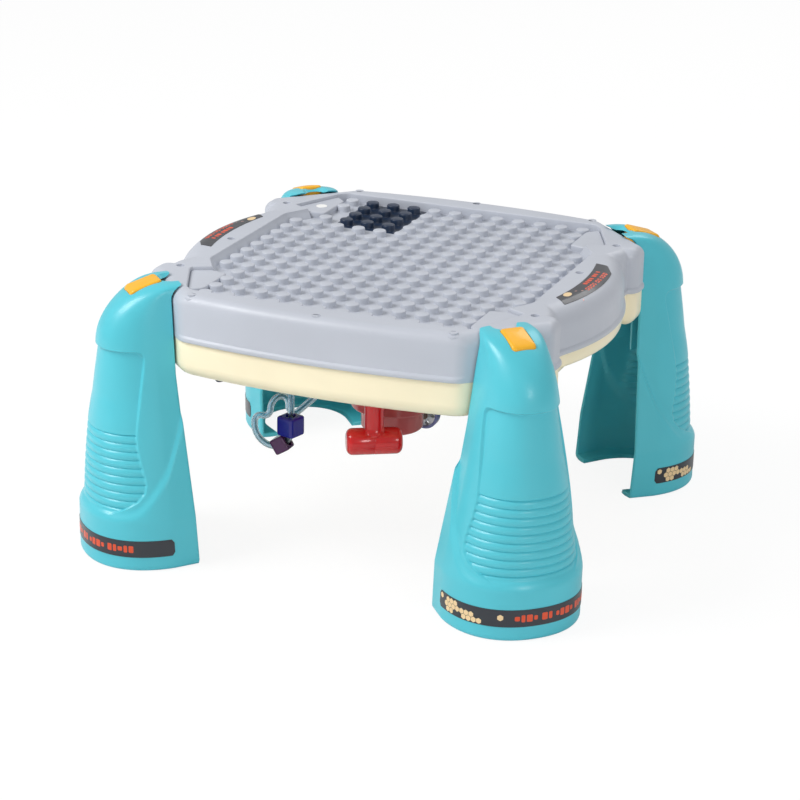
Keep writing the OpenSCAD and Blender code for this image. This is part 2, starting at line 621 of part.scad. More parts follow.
// Point of the leg's face: s runs from -1 at one free edge, 0 on the diagonal, to 1 at the other
function face(s, h, grow) =
  let (d0 = edge_d(h), tip = tip_d(h), dc = d0 + side_part * (tip - d0), a = tip - dc + grow, b = half_w(h) + grow,
    u = abs(s) / 0.74, th = 90 * (1 - min(1, u)), v = max(0, (abs(s) - 0.74) / 0.26))
  [u < 1 ? dc + a * pow(sin(th), 2 / square_n) : dc + (d0 - dc) * v,
   (s < 0 ? -1 : 1) * (u < 1 ? b * pow(max(0, cos(th)), 2 / square_n) : b + (edge_w(h) - half_w(h)) * v), h];

leg_ss = [for (k = [-12 : 12]) k / 12];
rib_step = (rib_hi - rib_lo) / (2 * rib_count);
leg_rows = concat([0, 1, 3, label_lo, label_hi, 30, 35, 38.5],
  [for (k = [0 : 2 * rib_count]) rib_lo + k * rib_step],
  [96, 100, 110, 120, under_z + 1], [brow_z - 8, brow_z - 3.5, brow_z - 1, brow_z + 1, brow_z + 6, brow_z + 14, brow_z + 21,
   cap_z - 14, cap_z - 10, cap_z - 7, cap_z - 4.5, cap_z - 3, cap_z - 1.6, cap_z - 0.7, cap_z - 0.2]);
inner_rows = [0, 1, 3, label_hi, 30, 35, 38.5, 45, 60, 75, 90, 100, 120, brow_z - 8, brow_z - 3.5, brow_z - 1, brow_z + 14, brow_z + 21,
  cap_z - 14, cap_z - 10, cap_z - 7, cap_z - 4.5, cap_z - 3 - 0.2];

// Grid of the outer face, closed at the crown by a row on the edge line
function outer_grid() = concat(
  [for (h = leg_rows) [for (s = leg_ss) face(s, h, swell(s, h, true))]],
  [[for (s = leg_ss) let (p = face(s, cap_z - 0.2, 0)) [edge_d(cap_z - 0.2), p[1], cap_z]]]);
// The inner face follows the outer one a wall thickness inside, with its crown lower by as much
function inner_grid() =
  let (h_top = cap_z - leg_t, k = (h_top - brow_z) / (cap_z - 0.2 - brow_z))
  concat([for (h = inner_rows) [for (s = leg_ss)
      let (z = h > brow_z ? brow_z + (h - brow_z) * k : h, p = face(s, h, swell(s, h, false) - leg_t))
      [max(p[0], edge_d(z)), p[1] * (abs(s) > 0.74 ? (edge_w(h) - leg_t) / edge_w(h) : 1), z]]],
    [[for (s = leg_ss) let (p = face(s, cap_z - 3.2, -leg_t)) [edge_d(h_top), p[1] * 0.9, h_top]]]);

function grid_points(g) = [for (row = g) each row];
function quads(rows, cols, base, flip) = [for (i = [0 : rows - 2], j = [0 : cols - 2])
  let (a = base + i * cols + j, b = a + 1, c = a + cols, d = c + 1)
  each flip ? [[a, c, b], [b, c, d]] : [[a, b, c], [b, d, c]]];
// Joins two columns of points of unlike length, each listed bottom to top
function zip_owner(i, na, nb) = floor(i * (nb - 1) / (na - 1) + 0.5);
function zip_up(a, b, flip) = let (na = len(a), nb = len(b)) concat(
  [for (i = [0 : na - 2]) let (k = zip_owner(i, na, nb)) flip ? [a[i], b[k], a[i + 1]] : [a[i], a[i + 1], b[k]]],
  [for (i = [0 : na - 2]) let (k0 = zip_owner(i, na, nb), k1 = zip_owner(i + 1, na, nb))
    for (k = [k0 : 1 : k1 - 1]) flip ? [a[i + 1], b[k], b[k + 1]] : [a[i + 1], b[k + 1], b[k]]]);

module leg_skin() {
  og = outer_grid();
  ig = inner_grid();
  no = len(og);
  ni = len(ig);
  nc = len(leg_ss);
  base = no * nc;
  col_o = function (j) [for (i = [0 : no - 1]) i * nc + j];
  col_i = function (j) [for (i = [0 : ni - 1]) base + i * nc + j];
  bottom = [for (j = [0 : nc - 2]) each [[j, j + 1, base + j], [j + 1, base + j + 1, base + j]]];
  to = (no - 1) * nc;
  ti = base + (ni - 1) * nc;
  crown = [for (j = [0 : nc - 2]) each [[to + j + 1, to + j, ti + j], [ti + j + 1, to + j + 1, ti + j]]];
  polyhedron(points = concat(grid_points(og), grid_points(ig)), convexity = 8, faces = concat(
    quads(no, nc, 0, true), quads(ni, nc, base, false), bottom, crown,
    zip_up(col_o(0), col_i(0), true), zip_up(col_o(nc - 1), col_i(nc - 1), false)));
}

// Room inside the leg's walls, in slices, to trim what is built inside; it runs a little way into the walls
module leg_inside(zs) {
  function ring(h) = [for (s = leg_ss) let (p = face(s, h, 0.8 - leg_t - in_panel(s, h) * panel_sink)) [p[0], p[1]]];
  for (i = [0 : len(zs) - 2])
    intersection_for (h = [zs[i], zs[i + 1]])
      translate([0, 0, zs[i]]) linear_extrude(zs[i + 1] - zs[i]) polygon(ring(h));
}

guide_in = tongue_w / 2 + fit;         // inner faces of the guides beside the tongue
guide_t = 2;
roof_z = tongue_hi + fit;              // guide plate over the tongue
roof_t = 2;
button_d0 = corner_d + 3.2;            // inner end of the button

module leg(q) color(cyan) at_corner(q) {
  difference() {
    leg_skin();
    translate([button_d0 - fit, -button_w / 2 - fit, roof_z + roof_t])
      cube([button_l + 2 * fit, button_w + 2 * fit, 30]);
  }
  sole_ring();
  // guides beside the tongue, the seat under it and the plate over it
  intersection() {
    leg_inside([tongue_lo - 30, 113, 124, 135, 142, brow_z - 2, brow_z + 2, 152, 158, 164, roof_z + roof_t]);
    union() {
      for (s = [-1, 1]) translate([edge_top + 1.5, s > 0 ? guide_in : -guide_in - guide_t, tongue_lo - 30])
        cube([60, guide_t, roof_z + roof_t - tongue_lo + 30]);
      translate([edge_top + 1.5, -guide_in - 0.5, tongue_lo - leg_t - 0.15]) cube([60, 2 * guide_in + 1, leg_t]);
      difference() {
        translate([edge_top + 1.5, -guide_in - 0.5, roof_z]) cube([60, 2 * guide_in + 1, roof_t]);
        translate([stem_at - stem_sq / 2 - 0.25, -stem_sq / 2 - 0.25, roof_z - cut])
          cube([stem_sq + 0.5, stem_sq + 0.5, roof_t + 2 * cut]);
      }
    }
  }
}

// Flat sole inside the foot, with rounded ends
module sole_ring() {
  function rim(inset) = [for (s = leg_ss) let (p = face(s, 1, -inset)) [p[0], p[1]]];
  linear_extrude(sole_t) difference() {
    polygon(rim(0.8));
    polygon(rim(sole_w));
    translate([edge_d(0) - 20, -leg_half + sole_w]) square([22, 2 * (leg_half - sole_w)]);
  }
}

// ---- release buttons ----
stem_sq = 7;                           // width of the button's square stem
button_low = roof_z + roof_t + 3.4;    // underside of the button's head
spring_r = 5.6;                        // mean radius of the coil
wire_r = 0.45;
spring_turns = 3;
spring_lo = roof_z + roof_t + wire_r + 0.02;
spring_hi = button_low - wire_r - 0.02;

module release_button(q) color(amber) at_corner(q) {
  round_r = 2.5;
  difference() {
    intersection() {
      translate([button_d0, -button_w / 2, button_low]) cube([button_l, button_w, 30]);
      button_dome();
    }
    for (s = [-1, 1], e = [0, 1])
      translate([button_d0 + e * button_l, s * button_w / 2, 0]) rotate([0, 0, 180 * e + (s > 0 ? -90 : 0) * (e > 0 ? -1 : 1)])
        difference() {
          translate([-1, -1, 0]) cube([round_r + 1, round_r + 1, table_h + 10]);
          translate([round_r, round_r, -1]) cylinder(r = round_r, h = table_h + 12);
        }
  }
  translate([stem_at - stem_sq / 2, -stem_sq / 2, roof_z - 6]) cube([stem_sq, stem_sq, button_low - roof_z + 7]);
}

// Slab whose upper face follows the leg's crown, button_up above it
module button_dome() {
  ds = [for (k = [0 : 10]) button_d0 - 1 + (button_l + 2) * k / 10];
  crown_z = function (d) let (x = max(0, (d - edge_top - 1.4) / (brow_reach - leg_gap - 1.4)))
    brow_z + (cap_z - brow_z) * pow(1 - pow(min(0.999, x), 1.9), 1 / 1.9);
  translate([0, button_w / 2 + 1, 0]) rotate([90, 0, 0]) linear_extrude(button_w + 2)
    polygon(concat([for (d = ds) [d, crown_z(d) + button_up]], [[ds[10], roof_z], [ds[0], roof_z]]));
}

// Round bar of radius r swept along points, with rings square to the path; ref is a direction the path never takes
module sweep(points, r, sides, ref) {
  n = len(points);
  rings = [for (i = [0 : n - 1])
    let (t = points[min(i + 1, n - 1)] - points[max(i - 1, 0)], u0 = cross(t, ref), u = u0 / norm(u0),
      v0 = cross(t, u), v = v0 / norm(v0))
    for (k = [0 : sides - 1]) points[i] + r * (cos(360 * k / sides) * u + sin(360 * k / sides) * v)];
  side = [for (i = [0 : n - 2], k = [0 : sides - 1])
    let (a = i * sides + k, b = i * sides + (k + 1) % sides)
    each [[a, a + sides, b], [b, a + sides, b + sides]]];
  last = (n - 1) * sides;
  ends = [for (k = [1 : sides - 2]) each [[0, k, k + 1], [last, last + k + 1, last + k]]];
  polyhedron(points = rings, faces = concat(side, ends), convexity = 6);
}

module button_spring(q) color(steel) at_corner(q)
  translate([stem_at, 0, 0]) sweep([for (i = [0 : 12 * spring_turns]) [spring_r * cos(30 * i), spring_r * sin(30 * i),
    spring_lo + (spring_hi - spring_lo) * i / (12 * spring_turns)]], wire_r, 6, [0, 0, 1]);

// ---- foot labels: a thin band round each foot ----
module foot_label(q) color(dark) at_corner(q) {
  ss = [for (k = [-9 : 9]) k / 12];
  n = len(ss);
  layer = function (g, h) [for (s = ss) face(s, h, swell(s, h, false) + g)];
  pts = concat(layer(0, label_lo), layer(0, label_hi), layer(0.3, label_hi), layer(0.3, label_lo));
  faces = concat([for (r = [0 : 3], j = [0 : n - 2]) let (a = r * n + j, c = ((r + 1) % 4) * n + j)
    each [[a, a + 1, c], [a + 1, c + 1, c]]],
    [[0, n, 2 * n], [0, 2 * n, 3 * n], [n - 1, 3 * n - 1, 2 * n - 1], [n - 1, 4 * n - 1, 3 * n - 1]]);
  polyhedron(points = pts, faces = faces, convexity = 4);
}

// ---- bead track: a clear tube of straight runs and arcs ----
track_y = -100;                        // plane of the front loop
loop_c = [-49.5, under_z - 41.2];      // centre of the round loop, across and up
loop_r = 13.2;
bend_r = 5.2;
down_x = loop_c[0] + loop_r;           // the straight run that the blue bead slides on
left_x = loop_c[0] - loop_r;
step_z = loop_c[1] + 7.2;               // the short level run
rise_x = left_x + 2 * bend_r + 1.1;
arch_z = under_z - 29;
arch_r = 7.5;
arch_turn = 62;                        // plan angle of the arch
back = [rise_x + 2 * arch_r * cos(arch_turn), track_y + 2 * arch_r * sin(arch_turn)];
dip_r = 4;
dip_z = arch_z - 1;
dip_turn = 135;
dip_end = [back[0] + dip_r + dip_r * cos(180 + dip_turn), dip_z + dip_r * sin(180 + dip_turn)];
lean = dip_turn - 90;
lean_l = 20;
lean_end = [dip_end[0] + lean_l * cos(lean), dip_end[1] + lean_l * sin(lean)];
last_r = 9;
last_c = [lean_end[0] - last_r * sin(lean), lean_end[1] + last_r * cos(lean)];
track_ends = [[down_x, track_y], [last_c[0] + last_r, back[1]]];
track_top = under_z + 6;               // the tube's ends, inside their sockets

// Points of an arc in an upright plane: c is its centre, turn the plane's plan angle, from a0 to a1 degrees
function upright_arc(c, turn, r, a0, a1, steps) = [for (k = [0 : steps])
  let (a = a0 + (a1 - a0) * k / steps) [c[0] + r * cos(a) * cos(turn), c[1] + r * cos(a) * sin(turn), c[2] + r * sin(a)]];

track_points = concat(
  [[down_x, track_y, track_top]],
  upright_arc([loop_c[0], track_y, loop_c[1]], 0, loop_r, 0, -180, 20),
  upright_arc([left_x + bend_r, track_y, step_z - bend_r], 0, bend_r, 180, 90, 5),
  upright_arc([rise_x - bend_r, track_y, step_z + bend_r], 0, bend_r, 270, 360, 5),
  upright_arc([rise_x + arch_r * cos(arch_turn), track_y + arch_r * sin(arch_turn), arch_z], arch_turn, arch_r, 180, 0, 9),
  upright_arc([back[0] + dip_r, back[1], dip_z], 0, dip_r, 180, 180 + dip_turn, 7),
  upright_arc([last_c[0], back[1], last_c[1]], 0, last_r, 270 + lean, 360, 4),
  [[last_c[0] + last_r, back[1], track_top]]);

module bead_track() color(clear) sweep(track_points, tube_d / 2, 12, [-sin(50), cos(50), 0]);

purple_turn = -58;                     // where the purple bead rests on the loop
bead_bore_r = tube_d / 2 + 1.2;
bead_hang = 0.8;                       // how far a bead lies off the tube's axis
blue_at = [down_x, track_y - bead_hang, loop_c[1] + 3.6];
blue_turn = -16;                       // plan angle of the blue bead
bead_edge = 1.32;                      // how far across its cut edges a bead is, in widths across its flats

// Cube with its edges cut off
module bead_block(w) intersection() {
  cube(w, center = true);
  rotate([0, 0, 45]) cube([w * bead_edge, w * bead_edge, w * 2], center = true);
  rotate([45, 0, 0]) cube([w * 2, w * bead_edge, w * bead_edge], center = true);
  rotate([0, 45, 0]) cube([w * bead_edge, w * 2, w * bead_edge], center = true);
}

module blue_bead() color(blue) translate(blue_at) rotate([0, 0, blue_turn]) difference() {
  bead_block(blue_bead);
  cylinder(r = bead_bore_r, h = 2 * blue_bead, center = true);
}

module purple_bead() color(purple)
  translate([loop_c[0], track_y, loop_c[1]]) rotate([0, -purple_turn, 0]) translate([loop_r - bead_hang, 0, 0]) difference() {
    bead_block(purple_bead);
    cylinder(r = bead_bore_r, h = 2 * purple_bead, center = true);
  }

// ---- twist handle ----
retainer_t = 2;
retainer_z = inner_z + fit;

module twist_handle() color(red) translate([handle_at[0], handle_at[1], 0]) {
  difference() {
    translate([0, 0, grip_z]) cylinder(r = stem_r, h = retainer_z + retainer_t + 3 - grip_z);
    translate([0, 0, retainer_z]) difference() {
      cylinder(r = stem_r + 1, h = retainer_t);
      translate([0, 0, -1]) cylinder(r = stem_r - 1.5, h = retainer_t + 2);
    }
  }
  rotate([0, 0, handle_turn]) translate([0, 0, grip_z]) rotate([0, 90, 0]) rotate_extrude() grip_profile();
}

module grip_profile() {
  edge = 4;
  translate([0, -grip_l / 2]) square([grip_d / 2 - edge, grip_l]);
  translate([0, -grip_l / 2 + edge]) square([grip_d / 2, grip_l - 2 * edge]);
  for (s = [-1, 1]) translate([grip_d / 2 - edge, s * (grip_l / 2 - edge)]) circle(r = edge);
}

// Snap ring in the groove of a stem
module retainer(at, r) translate([at[0], at[1], retainer_z]) difference() {
  cylinder(r = r + 3.4, h = retainer_t - 0.1);
  translate([0, 0, -1]) cylinder(r = r - 1.5 + snug, h = retainer_t + 2);
  translate([0, -1.2, -1]) cube([r + 6, 2.4, retainer_t + 2]);
}
module handle_retainer() color(steel) retainer(handle_at, stem_r);
module drum_retainer() color(steel) retainer(drum_at, drum_pin_r);

// ---- rattle drum: a clear cup on a pin ----
drum_top = under_z - 2;
drum_wall = 2;

module rattle_drum() color(pink) translate([drum_at[0], drum_at[1], 0]) {
  translate([0, 0, drum_top - drum_h]) rotate_extrude($fn = 72) drum_profile();
  difference() {
    translate([0, 0, drum_top - drum_h + 1]) cylinder(r = drum_pin_r, h = retainer_z + retainer_t + 3 - drum_top + drum_h - 1);
    translate([0, 0, retainer_z]) difference() {
      cylinder(r = drum_pin_r + 1, h = retainer_t);
      translate([0, 0, -1]) cylinder(r = drum_pin_r - 1.5, h = retainer_t + 2);
    }
  }
  // blades that carry the cup on its pin
  for (a = [0 : 60 : 300]) rotate([0, 0, a]) translate([0, -0.8, drum_top - drum_h + 1])
    cube([drum_d / 2 - drum_wall / 2, 1.6, drum_h - 8]);
}

cup_h = 14.6;                          // height of the cup below the brim

module drum_profile() {
  r = drum_d / 2;
  b = brim_d / 2;
  polygon([[0, 0], [r - 2, 0], [r, 2], [r, cup_h], [b - 1.5, cup_h], [b, cup_h + 1.5], [b, drum_h - 4],
    [b - 4, drum_h], [b - 4 - drum_wall, drum_h - 0.6], [b - drum_wall, drum_h - 5], [b - drum_wall, cup_h + drum_wall],
    [r - drum_wall, cup_h + drum_wall], [r - drum_wall, drum_wall], [0, drum_wall]]);
}

// ---- spinner wheel on its post ----
wheel_pin_r = 1.8;

module spinner_post() color(white) translate([wheel_at[0], wheel_at[1], 0]) {
  translate([-5, wheel_t / 2 + 1.2, wheel_z]) cube([10, 4, under_z - wheel_z]);
  translate([0, wheel_t / 2 + 5.2, wheel_z]) rotate([90, 0, 0]) cylinder(r = 5, h = 4);
  translate([0, wheel_t / 2 + 2, wheel_z]) rotate([90, 0, 0]) cylinder(r = wheel_pin_r, h = wheel_t + 3.2);
  translate([0, -wheel_t / 2 - 0.5, wheel_z]) rotate([90, 0, 0]) cylinder(r = wheel_pin_r + 1.2, h = 1.2);
}

module spinner_wheel() color(clear) translate([wheel_at[0], wheel_at[1] + wheel_t / 2, wheel_z]) rotate([90, 0, 0])
  difference() {
    union() {
      difference() {
        cylinder(d = wheel_d, h = wheel_t);
        translate([0, 0, -cut]) cylinder(d = wheel_d - 3, h = wheel_t + 2 * cut);
      }
      translate([0, 0, 1]) cylinder(d = wheel_d - 2, h = wheel_t - 2);
      cylinder(r = wheel_pin_r + 2, h = wheel_t);
    }
    translate([0, 0, -cut]) cylinder(r = wheel_pin_r + hole_fit, h = wheel_t + 2 * cut);
    for (a = [0 : 72 : 288]) rotate([0, 0, a]) translate([wheel_d / 4 + 1, 0, -cut]) cylinder(r = 1.5, h = wheel_t + 2 * cut);
  }

// ---- play gears: eight round lobes each ----
gear_lobes = 8;
lobe_h = 2.3;                          // half height of a lobe
gear_air = 0.4;                       // drawn in all round, so that two gears run free

function gear_outline(phase) = [for (a = [0 : 3 : 357])
  let (r = gear_r - gear_air + lobe_h * cos(gear_lobes * (a - phase))) [r * cos(a), r * sin(a)]];

// Angle of a gear's first lobe: lobes of the second gear stand in the gaps of the first
function gear_bearing(a, b) = atan2(b[1] - a[1], b[0] - a[0]);
gear_phase_1 = -90;
gear_phase_2 = let (t = gear_bearing(gear_spots[0], gear_spots[1])) t + 180 + 180 / gear_lobes - (gear_phase_1 - t);
gear_phase_3 = let (t = gear_bearing(gear_spots[1], gear_spots[2])) t + 180 + 180 / gear_lobes - (gear_phase_2 - t);

module play_gear(n, phase) color(dark)
  translate([gear_spots[n][0], gear_spots[n][1], under_z - gear_gap - gear_t]) difference() {
    linear_extrude(gear_t - 0.2) polygon(gear_outline(phase));
    translate([0, 0, -cut]) cylinder(r = gear_pin_r + hole_fit, h = gear_t + 2 * cut);
    for (a = [0 : 90 : 270]) rotate([0, 0, a + phase]) translate([9, 0, -cut]) cylinder(r = 2.4, h = gear_t + 2 * cut, $fn = 24);
  }

module gear_caps() color(amber) for (g = gear_spots)
  translate([g[0], g[1], under_z - gear_gap - gear_t - 0.2]) {
    translate([0, 0, -1.8]) cylinder(r = gear_pin_r + 2, h = 1.8);
    translate([0, 0, -0.5]) cylinder(r = 1.25, h = 7);
  }

// ---- music keys ----
key_colours = [red, amber, cyan, blue, purple];

module music_key(k) color(key_colours[k]) key_place(k) {
  edge = 1.5;
  difference() {
    union() {
      translate([-key_w / 2, key_y, under_z - key_down]) cube([key_w, key_l, key_down + wall_t]);
      translate([-key_w / 2 + 2, key_y - 4, inner_z]) cube([key_w - 4, key_l + 3, 2.4]);
      translate([-3, key_y + 6, inner_z]) cube([6, 6, board_z - inner_z - pad_h - 2.7]);
      translate([-key_w / 2 + 2, key_pivot[0], key_pivot[1]]) rotate([0, 90, 0]) cylinder(r = key_hub_r, h = key_w - 4);
      translate([-key_pitch / 2 + 0.6, key_pivot[0], key_pivot[1]]) rotate([0, 90, 0]) cylinder(r = key_pivot_r, h = key_pitch - 1.2);
    }
    for (s = [-1, 1]) translate([s * key_w / 2, key_y - 1, under_z - key_down]) rotate([0, 45, 0])
      cube([edge, 2 * key_l + 9, edge], center = true);
    translate([0, key_y, under_z - key_down]) rotate([45, 0, 0]) cube([key_w + 2, 2 * edge, 2 * edge], center = true);
  }
}

// Rubber domes between the keys and the circuit board
module key_pads() color(white) for (k = [0 : key_count - 1]) key_place(k)
  translate([0, key_y + 9, board_z - pad_h]) cylinder(r = 3, h = pad_h);

// Bar that holds the pivot pins down in their cradles
module key_bar() color(cream) {
  translate([-key_bar_l / 2, key_pivot[0] - 3, bar_z]) difference() {
    cube([key_bar_l, 6, 2]);
    for (x = [3, key_bar_l - 3]) translate([x, 3, -1]) cylinder(r = 1.3, h = 4);
  }
}

module circuit_board() color([0.12, 0.42, 0.22]) translate([board_at[0] - board_size[0] / 2, board_at[1] - board_size[1] / 2, board_z])
  difference() {
    union() {
      cube([board_size[0], board_size[1], 1.6]);
      translate([60, 24, 1.6]) cube([12, 12, 2]);
      for (x = [20, 32, 84]) translate([x, 40, 1.6]) cylinder(r = 3, h = 6);
    }
    for (x = [board_in, board_size[0] - board_in], y = [board_in, board_size[1] - board_in])
      translate([x, y, -1]) cylinder(r = 1.3, h = 4);
  }

module board_screws() color(steel) {
  for (b = board_spots) translate([b[0], b[1], board_z]) {
    translate([0, 0, 1.6]) cylinder(r = 2.2, h = 1.4);
    translate([0, 0, -5]) cylinder(r = 1, h = 7);
  }
  for (s = [-1, 1]) translate([s * (key_bar_l / 2 - 3), key_pivot[0], bar_z]) {
    translate([0, 0, 2]) cylinder(r = 1.9, h = 1.2);
    translate([0, 0, -3.5]) cylinder(r = 1, h = 6);
  }
}

module speaker() color(dark) translate([speaker_at[0], speaker_at[1], inner_z]) {
  difference() {
    cylinder(r = speaker_r, h = 4);
    translate([0, 0, -cut]) cylinder(r = speaker_r - 3, h = 3);
  }
  translate([0, 0, 3]) cylinder(r = speaker_r * 0.6, h = 5);
  translate([0, 0, 7]) cylinder(r = speaker_r * 0.42, h = 5);
}

module speaker_ring() color(cream) translate([speaker_at[0], speaker_at[1], inner_z + 4]) difference() {
  cylinder(r = speaker_r + 2.2, h = 1.6);
  translate([0, 0, -1]) cylinder(r = speaker_r * 0.62, h = 4);
}

module power_switch() color(dark) translate([switch_at[0], switch_at[1], inner_z]) difference() {
  translate([-10, -5, 0]) cube([20, 10, 6]);
  translate([-switch_slot[0] / 2, -switch_slot[1] / 2, -1]) cube([switch_slot[0], switch_slot[1], 5]);
}

module switch_knob() color(red) translate([switch_at[0] - knob_travel / 2, switch_at[1], under_z - 1.5])
  translate([-3, -switch_slot[1] / 2 + fit, 0]) cube([6, switch_slot[1] - 2 * fit, inner_z + 3.5 - under_z]);

door_screw_at = [battery_size[0] / 2 - 5, 7.7];

module battery_box() color(cream) translate([battery_at[0], battery_at[1], inner_z]) {
  s = battery_size;
  difference() {
    union() {
      difference() {
        translate([-s[0] / 2 - 1, -s[1] / 2 - 1, 0]) cube([s[0] + 2, s[1] + 2, s[2]]);
        translate([-s[0] / 2 + 1, -s[1] / 2 + 1, -1]) cube([s[0] - 2, s[1] - 2, s[2] - 1]);
      }
      translate([door_screw_at[0], door_screw_at[1], 0.1]) cylinder(r = 2.5, h = s[2] - 2);
    }
    translate([door_screw_at[0], door_screw_at[1], -1]) cylinder(r = 1.25, h = 10);
  }
}

battery_r = 7.1;
battery_l = 50;
battery_pitch = 15.4;
battery_z = inner_z + battery_size[2] - battery_r - 2.4;
contact_w = 10;

module batteries() color([0.25, 0.45, 0.30]) for (k = [-1 : 1])
  translate([battery_at[0] - battery_l / 2, battery_at[1] + k * battery_pitch, battery_z]) rotate([0, 90, 0]) {
    cylinder(r = battery_r, h = battery_l - 1.5);
    cylinder(r = 2.6, h = battery_l);
  }

module battery_contacts() color(steel) for (k = [-1 : 1]) translate([0, battery_at[1] + k * battery_pitch, battery_z]) {
  room = battery_size[0] / 2 - 1 - battery_l / 2;
  for (x = [battery_l / 2, 1 - battery_size[0] / 2])
    translate([battery_at[0] + x, -contact_w / 2, -contact_w / 2]) cube([room, contact_w, contact_w]);
}

module battery_door() color(cream) translate([battery_at[0], battery_at[1], under_z]) difference() {
  union() {
    translate([-battery_size[0] / 2 - 0.7, -battery_size[1] / 2 - 0.7, 0])
      cube([battery_size[0] + 1.4, battery_size[1] + 1.4, door_t - 0.7]);
    translate([-battery_size[0] / 2 + 2.4, -battery_size[1] / 2 + 2.4, 0.5])
      cube([battery_size[0] - 4.8, battery_size[1] - 4.8, wall_t - 0.5]);
  }
  translate([door_screw_at[0], door_screw_at[1], -1]) cylinder(r = 1.4, h = 6);
  translate([door_screw_at[0], door_screw_at[1], -1]) cylinder(r = 2.8, h = 2);
}

module door_screw() color(steel) translate([battery_at[0] + door_screw_at[0], battery_at[1] + door_screw_at[1], under_z]) difference() {
  union() {
    cylinder(r = 1.2, h = 9);
    translate([0, 0, -0.1]) cylinder(r = 2.6, h = 1.1);
  }
  translate([-1.8, -0.4, -1]) cube([3.6, 0.8, 1.4]);
}

top_shell();
bottom_shell();
stud_insert();
shell_screws();
side_labels();
pocket_sticker();
for (q = [0 : 3]) {
  leg(q);
  release_button(q);
  button_spring(q);
  foot_label(q);
}
bead_track();
blue_bead();
purple_bead();
twist_handle();
handle_retainer();
rattle_drum();
drum_retainer();
spinner_post();
spinner_wheel();
play_gear(0, gear_phase_1);  // play_gear_1
play_gear(1, gear_phase_2);  // play_gear_2
play_gear(2, gear_phase_3);  // play_gear_3
gear_caps();
for (k = [0 : key_count - 1])
  music_key(k);
key_bar();
key_pads();
circuit_board();
board_screws();
speaker();
speaker_ring();
power_switch();
switch_knob();
battery_box();
batteries();
battery_contacts();
battery_door();
door_screw();
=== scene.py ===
"""Musical activity table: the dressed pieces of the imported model, one operator per piece or group of like pieces."""
import math

import bmesh
import bpy
import numpy as np
from bpy.props import FloatProperty, FloatVectorProperty, IntProperty, PointerProperty
from mathutils import Matrix, Vector
from mathutils.geometry import delaunay_2d_cdt


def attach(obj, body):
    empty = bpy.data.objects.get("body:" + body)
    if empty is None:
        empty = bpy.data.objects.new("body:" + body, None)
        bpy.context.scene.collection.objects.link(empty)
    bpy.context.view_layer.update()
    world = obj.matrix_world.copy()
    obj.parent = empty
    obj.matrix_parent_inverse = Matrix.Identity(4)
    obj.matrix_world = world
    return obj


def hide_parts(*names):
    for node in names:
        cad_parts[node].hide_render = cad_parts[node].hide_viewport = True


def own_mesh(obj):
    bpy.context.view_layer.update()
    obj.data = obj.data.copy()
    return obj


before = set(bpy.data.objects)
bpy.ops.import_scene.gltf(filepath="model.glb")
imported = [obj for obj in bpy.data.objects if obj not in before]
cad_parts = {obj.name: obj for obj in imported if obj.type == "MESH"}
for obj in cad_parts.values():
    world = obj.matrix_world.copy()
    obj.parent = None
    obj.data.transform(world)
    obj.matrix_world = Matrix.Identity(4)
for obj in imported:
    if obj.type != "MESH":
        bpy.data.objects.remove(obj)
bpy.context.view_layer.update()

bl_info = {
    "name": "Musical activity table",
    "version": (1, 0, 0),
    "blender": (4, 5, 0),
    "location": "3D View > Sidebar > Activity table",
    "description": "Builds the dressed pieces of a musical activity table on its packed model",
    "category": "Object",
}

MM = 0.001

# ---- sizes of the solids, in millimetres ----
TABLE_H, UPPER_H, LOWER_H = 183.8, 31.1, 24.7
HALF_DEPTH, FRONT_BOW, HALF_WIDTH = 149.0, 8.5, 149.5
POST_X, NOTCH_X, CORNER_D = 141.0, 134.5, 168.0
WALL, TOP_ROUND, CORNER_ROUND, UNDER_ROUND = 2.4, 7.0, 9.0, 9.5
LIP_OUT, LIP_H, LOWER_INSET = 1.5, 3.6, 0.4
PART_Z = TABLE_H - UPPER_H
UNDER_Z = PART_Z - LOWER_H
BULGE_ROUND, SHELF_Z, SHELF_ROUND, SHELF_Y, DEEP_X = 15.0, PART_Z - 10.0, 3.4, 70.0, 128.0
INNER_Z = UNDER_Z + WALL
STUD_PITCH, STUD_D, STUD_H, STUD_SINK = 16.0, 9.3, 4.4, 2.3
STUD_Z = TABLE_H - STUD_SINK
FIELD_Z = STUD_Z - STUD_H
FIELD_T, INSERT_T = 3.0, 1.6
FRONT_R = (100 ** 2 + FRONT_BOW ** 2) / (2 * FRONT_BOW)
BULGE_Y, POST_Y, POST_ROUND = 66.0, 76.0, 9.0
BULGE_R = (BULGE_Y ** 2 + (HALF_WIDTH - NOTCH_X) ** 2) / (2 * (HALF_WIDTH - NOTCH_X))
SCREWS = [(-89.5, -136.5), (0, -142), (89.5, -136.5), (-89.5, 136.5), (0, 142), (89.5, 136.5),
          (120.8, 14), (-120.8, -14), (124, -84), (124, 84), (-124, -84), (-124, 84)]
CORNERS = ["rear_right", "rear_left", "front_left", "front_right"]
TONGUE_W, TONGUE_L, TONGUE_T = 24.0, 22.0, 2.2
TONGUE_LO, TONGUE_HI = UNDER_Z + 3, TABLE_H - 15
STEM_AT, CATCH_W, STEM_SQ = CORNER_D + 14, 8.4, 7.0
ROOF_Z, ROOF_T = TONGUE_HI + 0.3, 2.0
BUTTON_D0, BUTTON_L, BUTTON_W, BUTTON_UP = CORNER_D + 3.2, 21.4, 16.0, 1.2
BUTTON_LOW = ROOF_Z + ROOF_T + 3.4
SPRING_R, SPRING_WIRE, SPRING_TURNS = 5.6, 0.45, 3
HANDLE_AT, HANDLE_TURN, GRIP_Z = (29.3, -116.0), 30.0, UNDER_Z - 32.5
STEM_D, GRIP_D, GRIP_L = 12.6, 17.4, 36.0
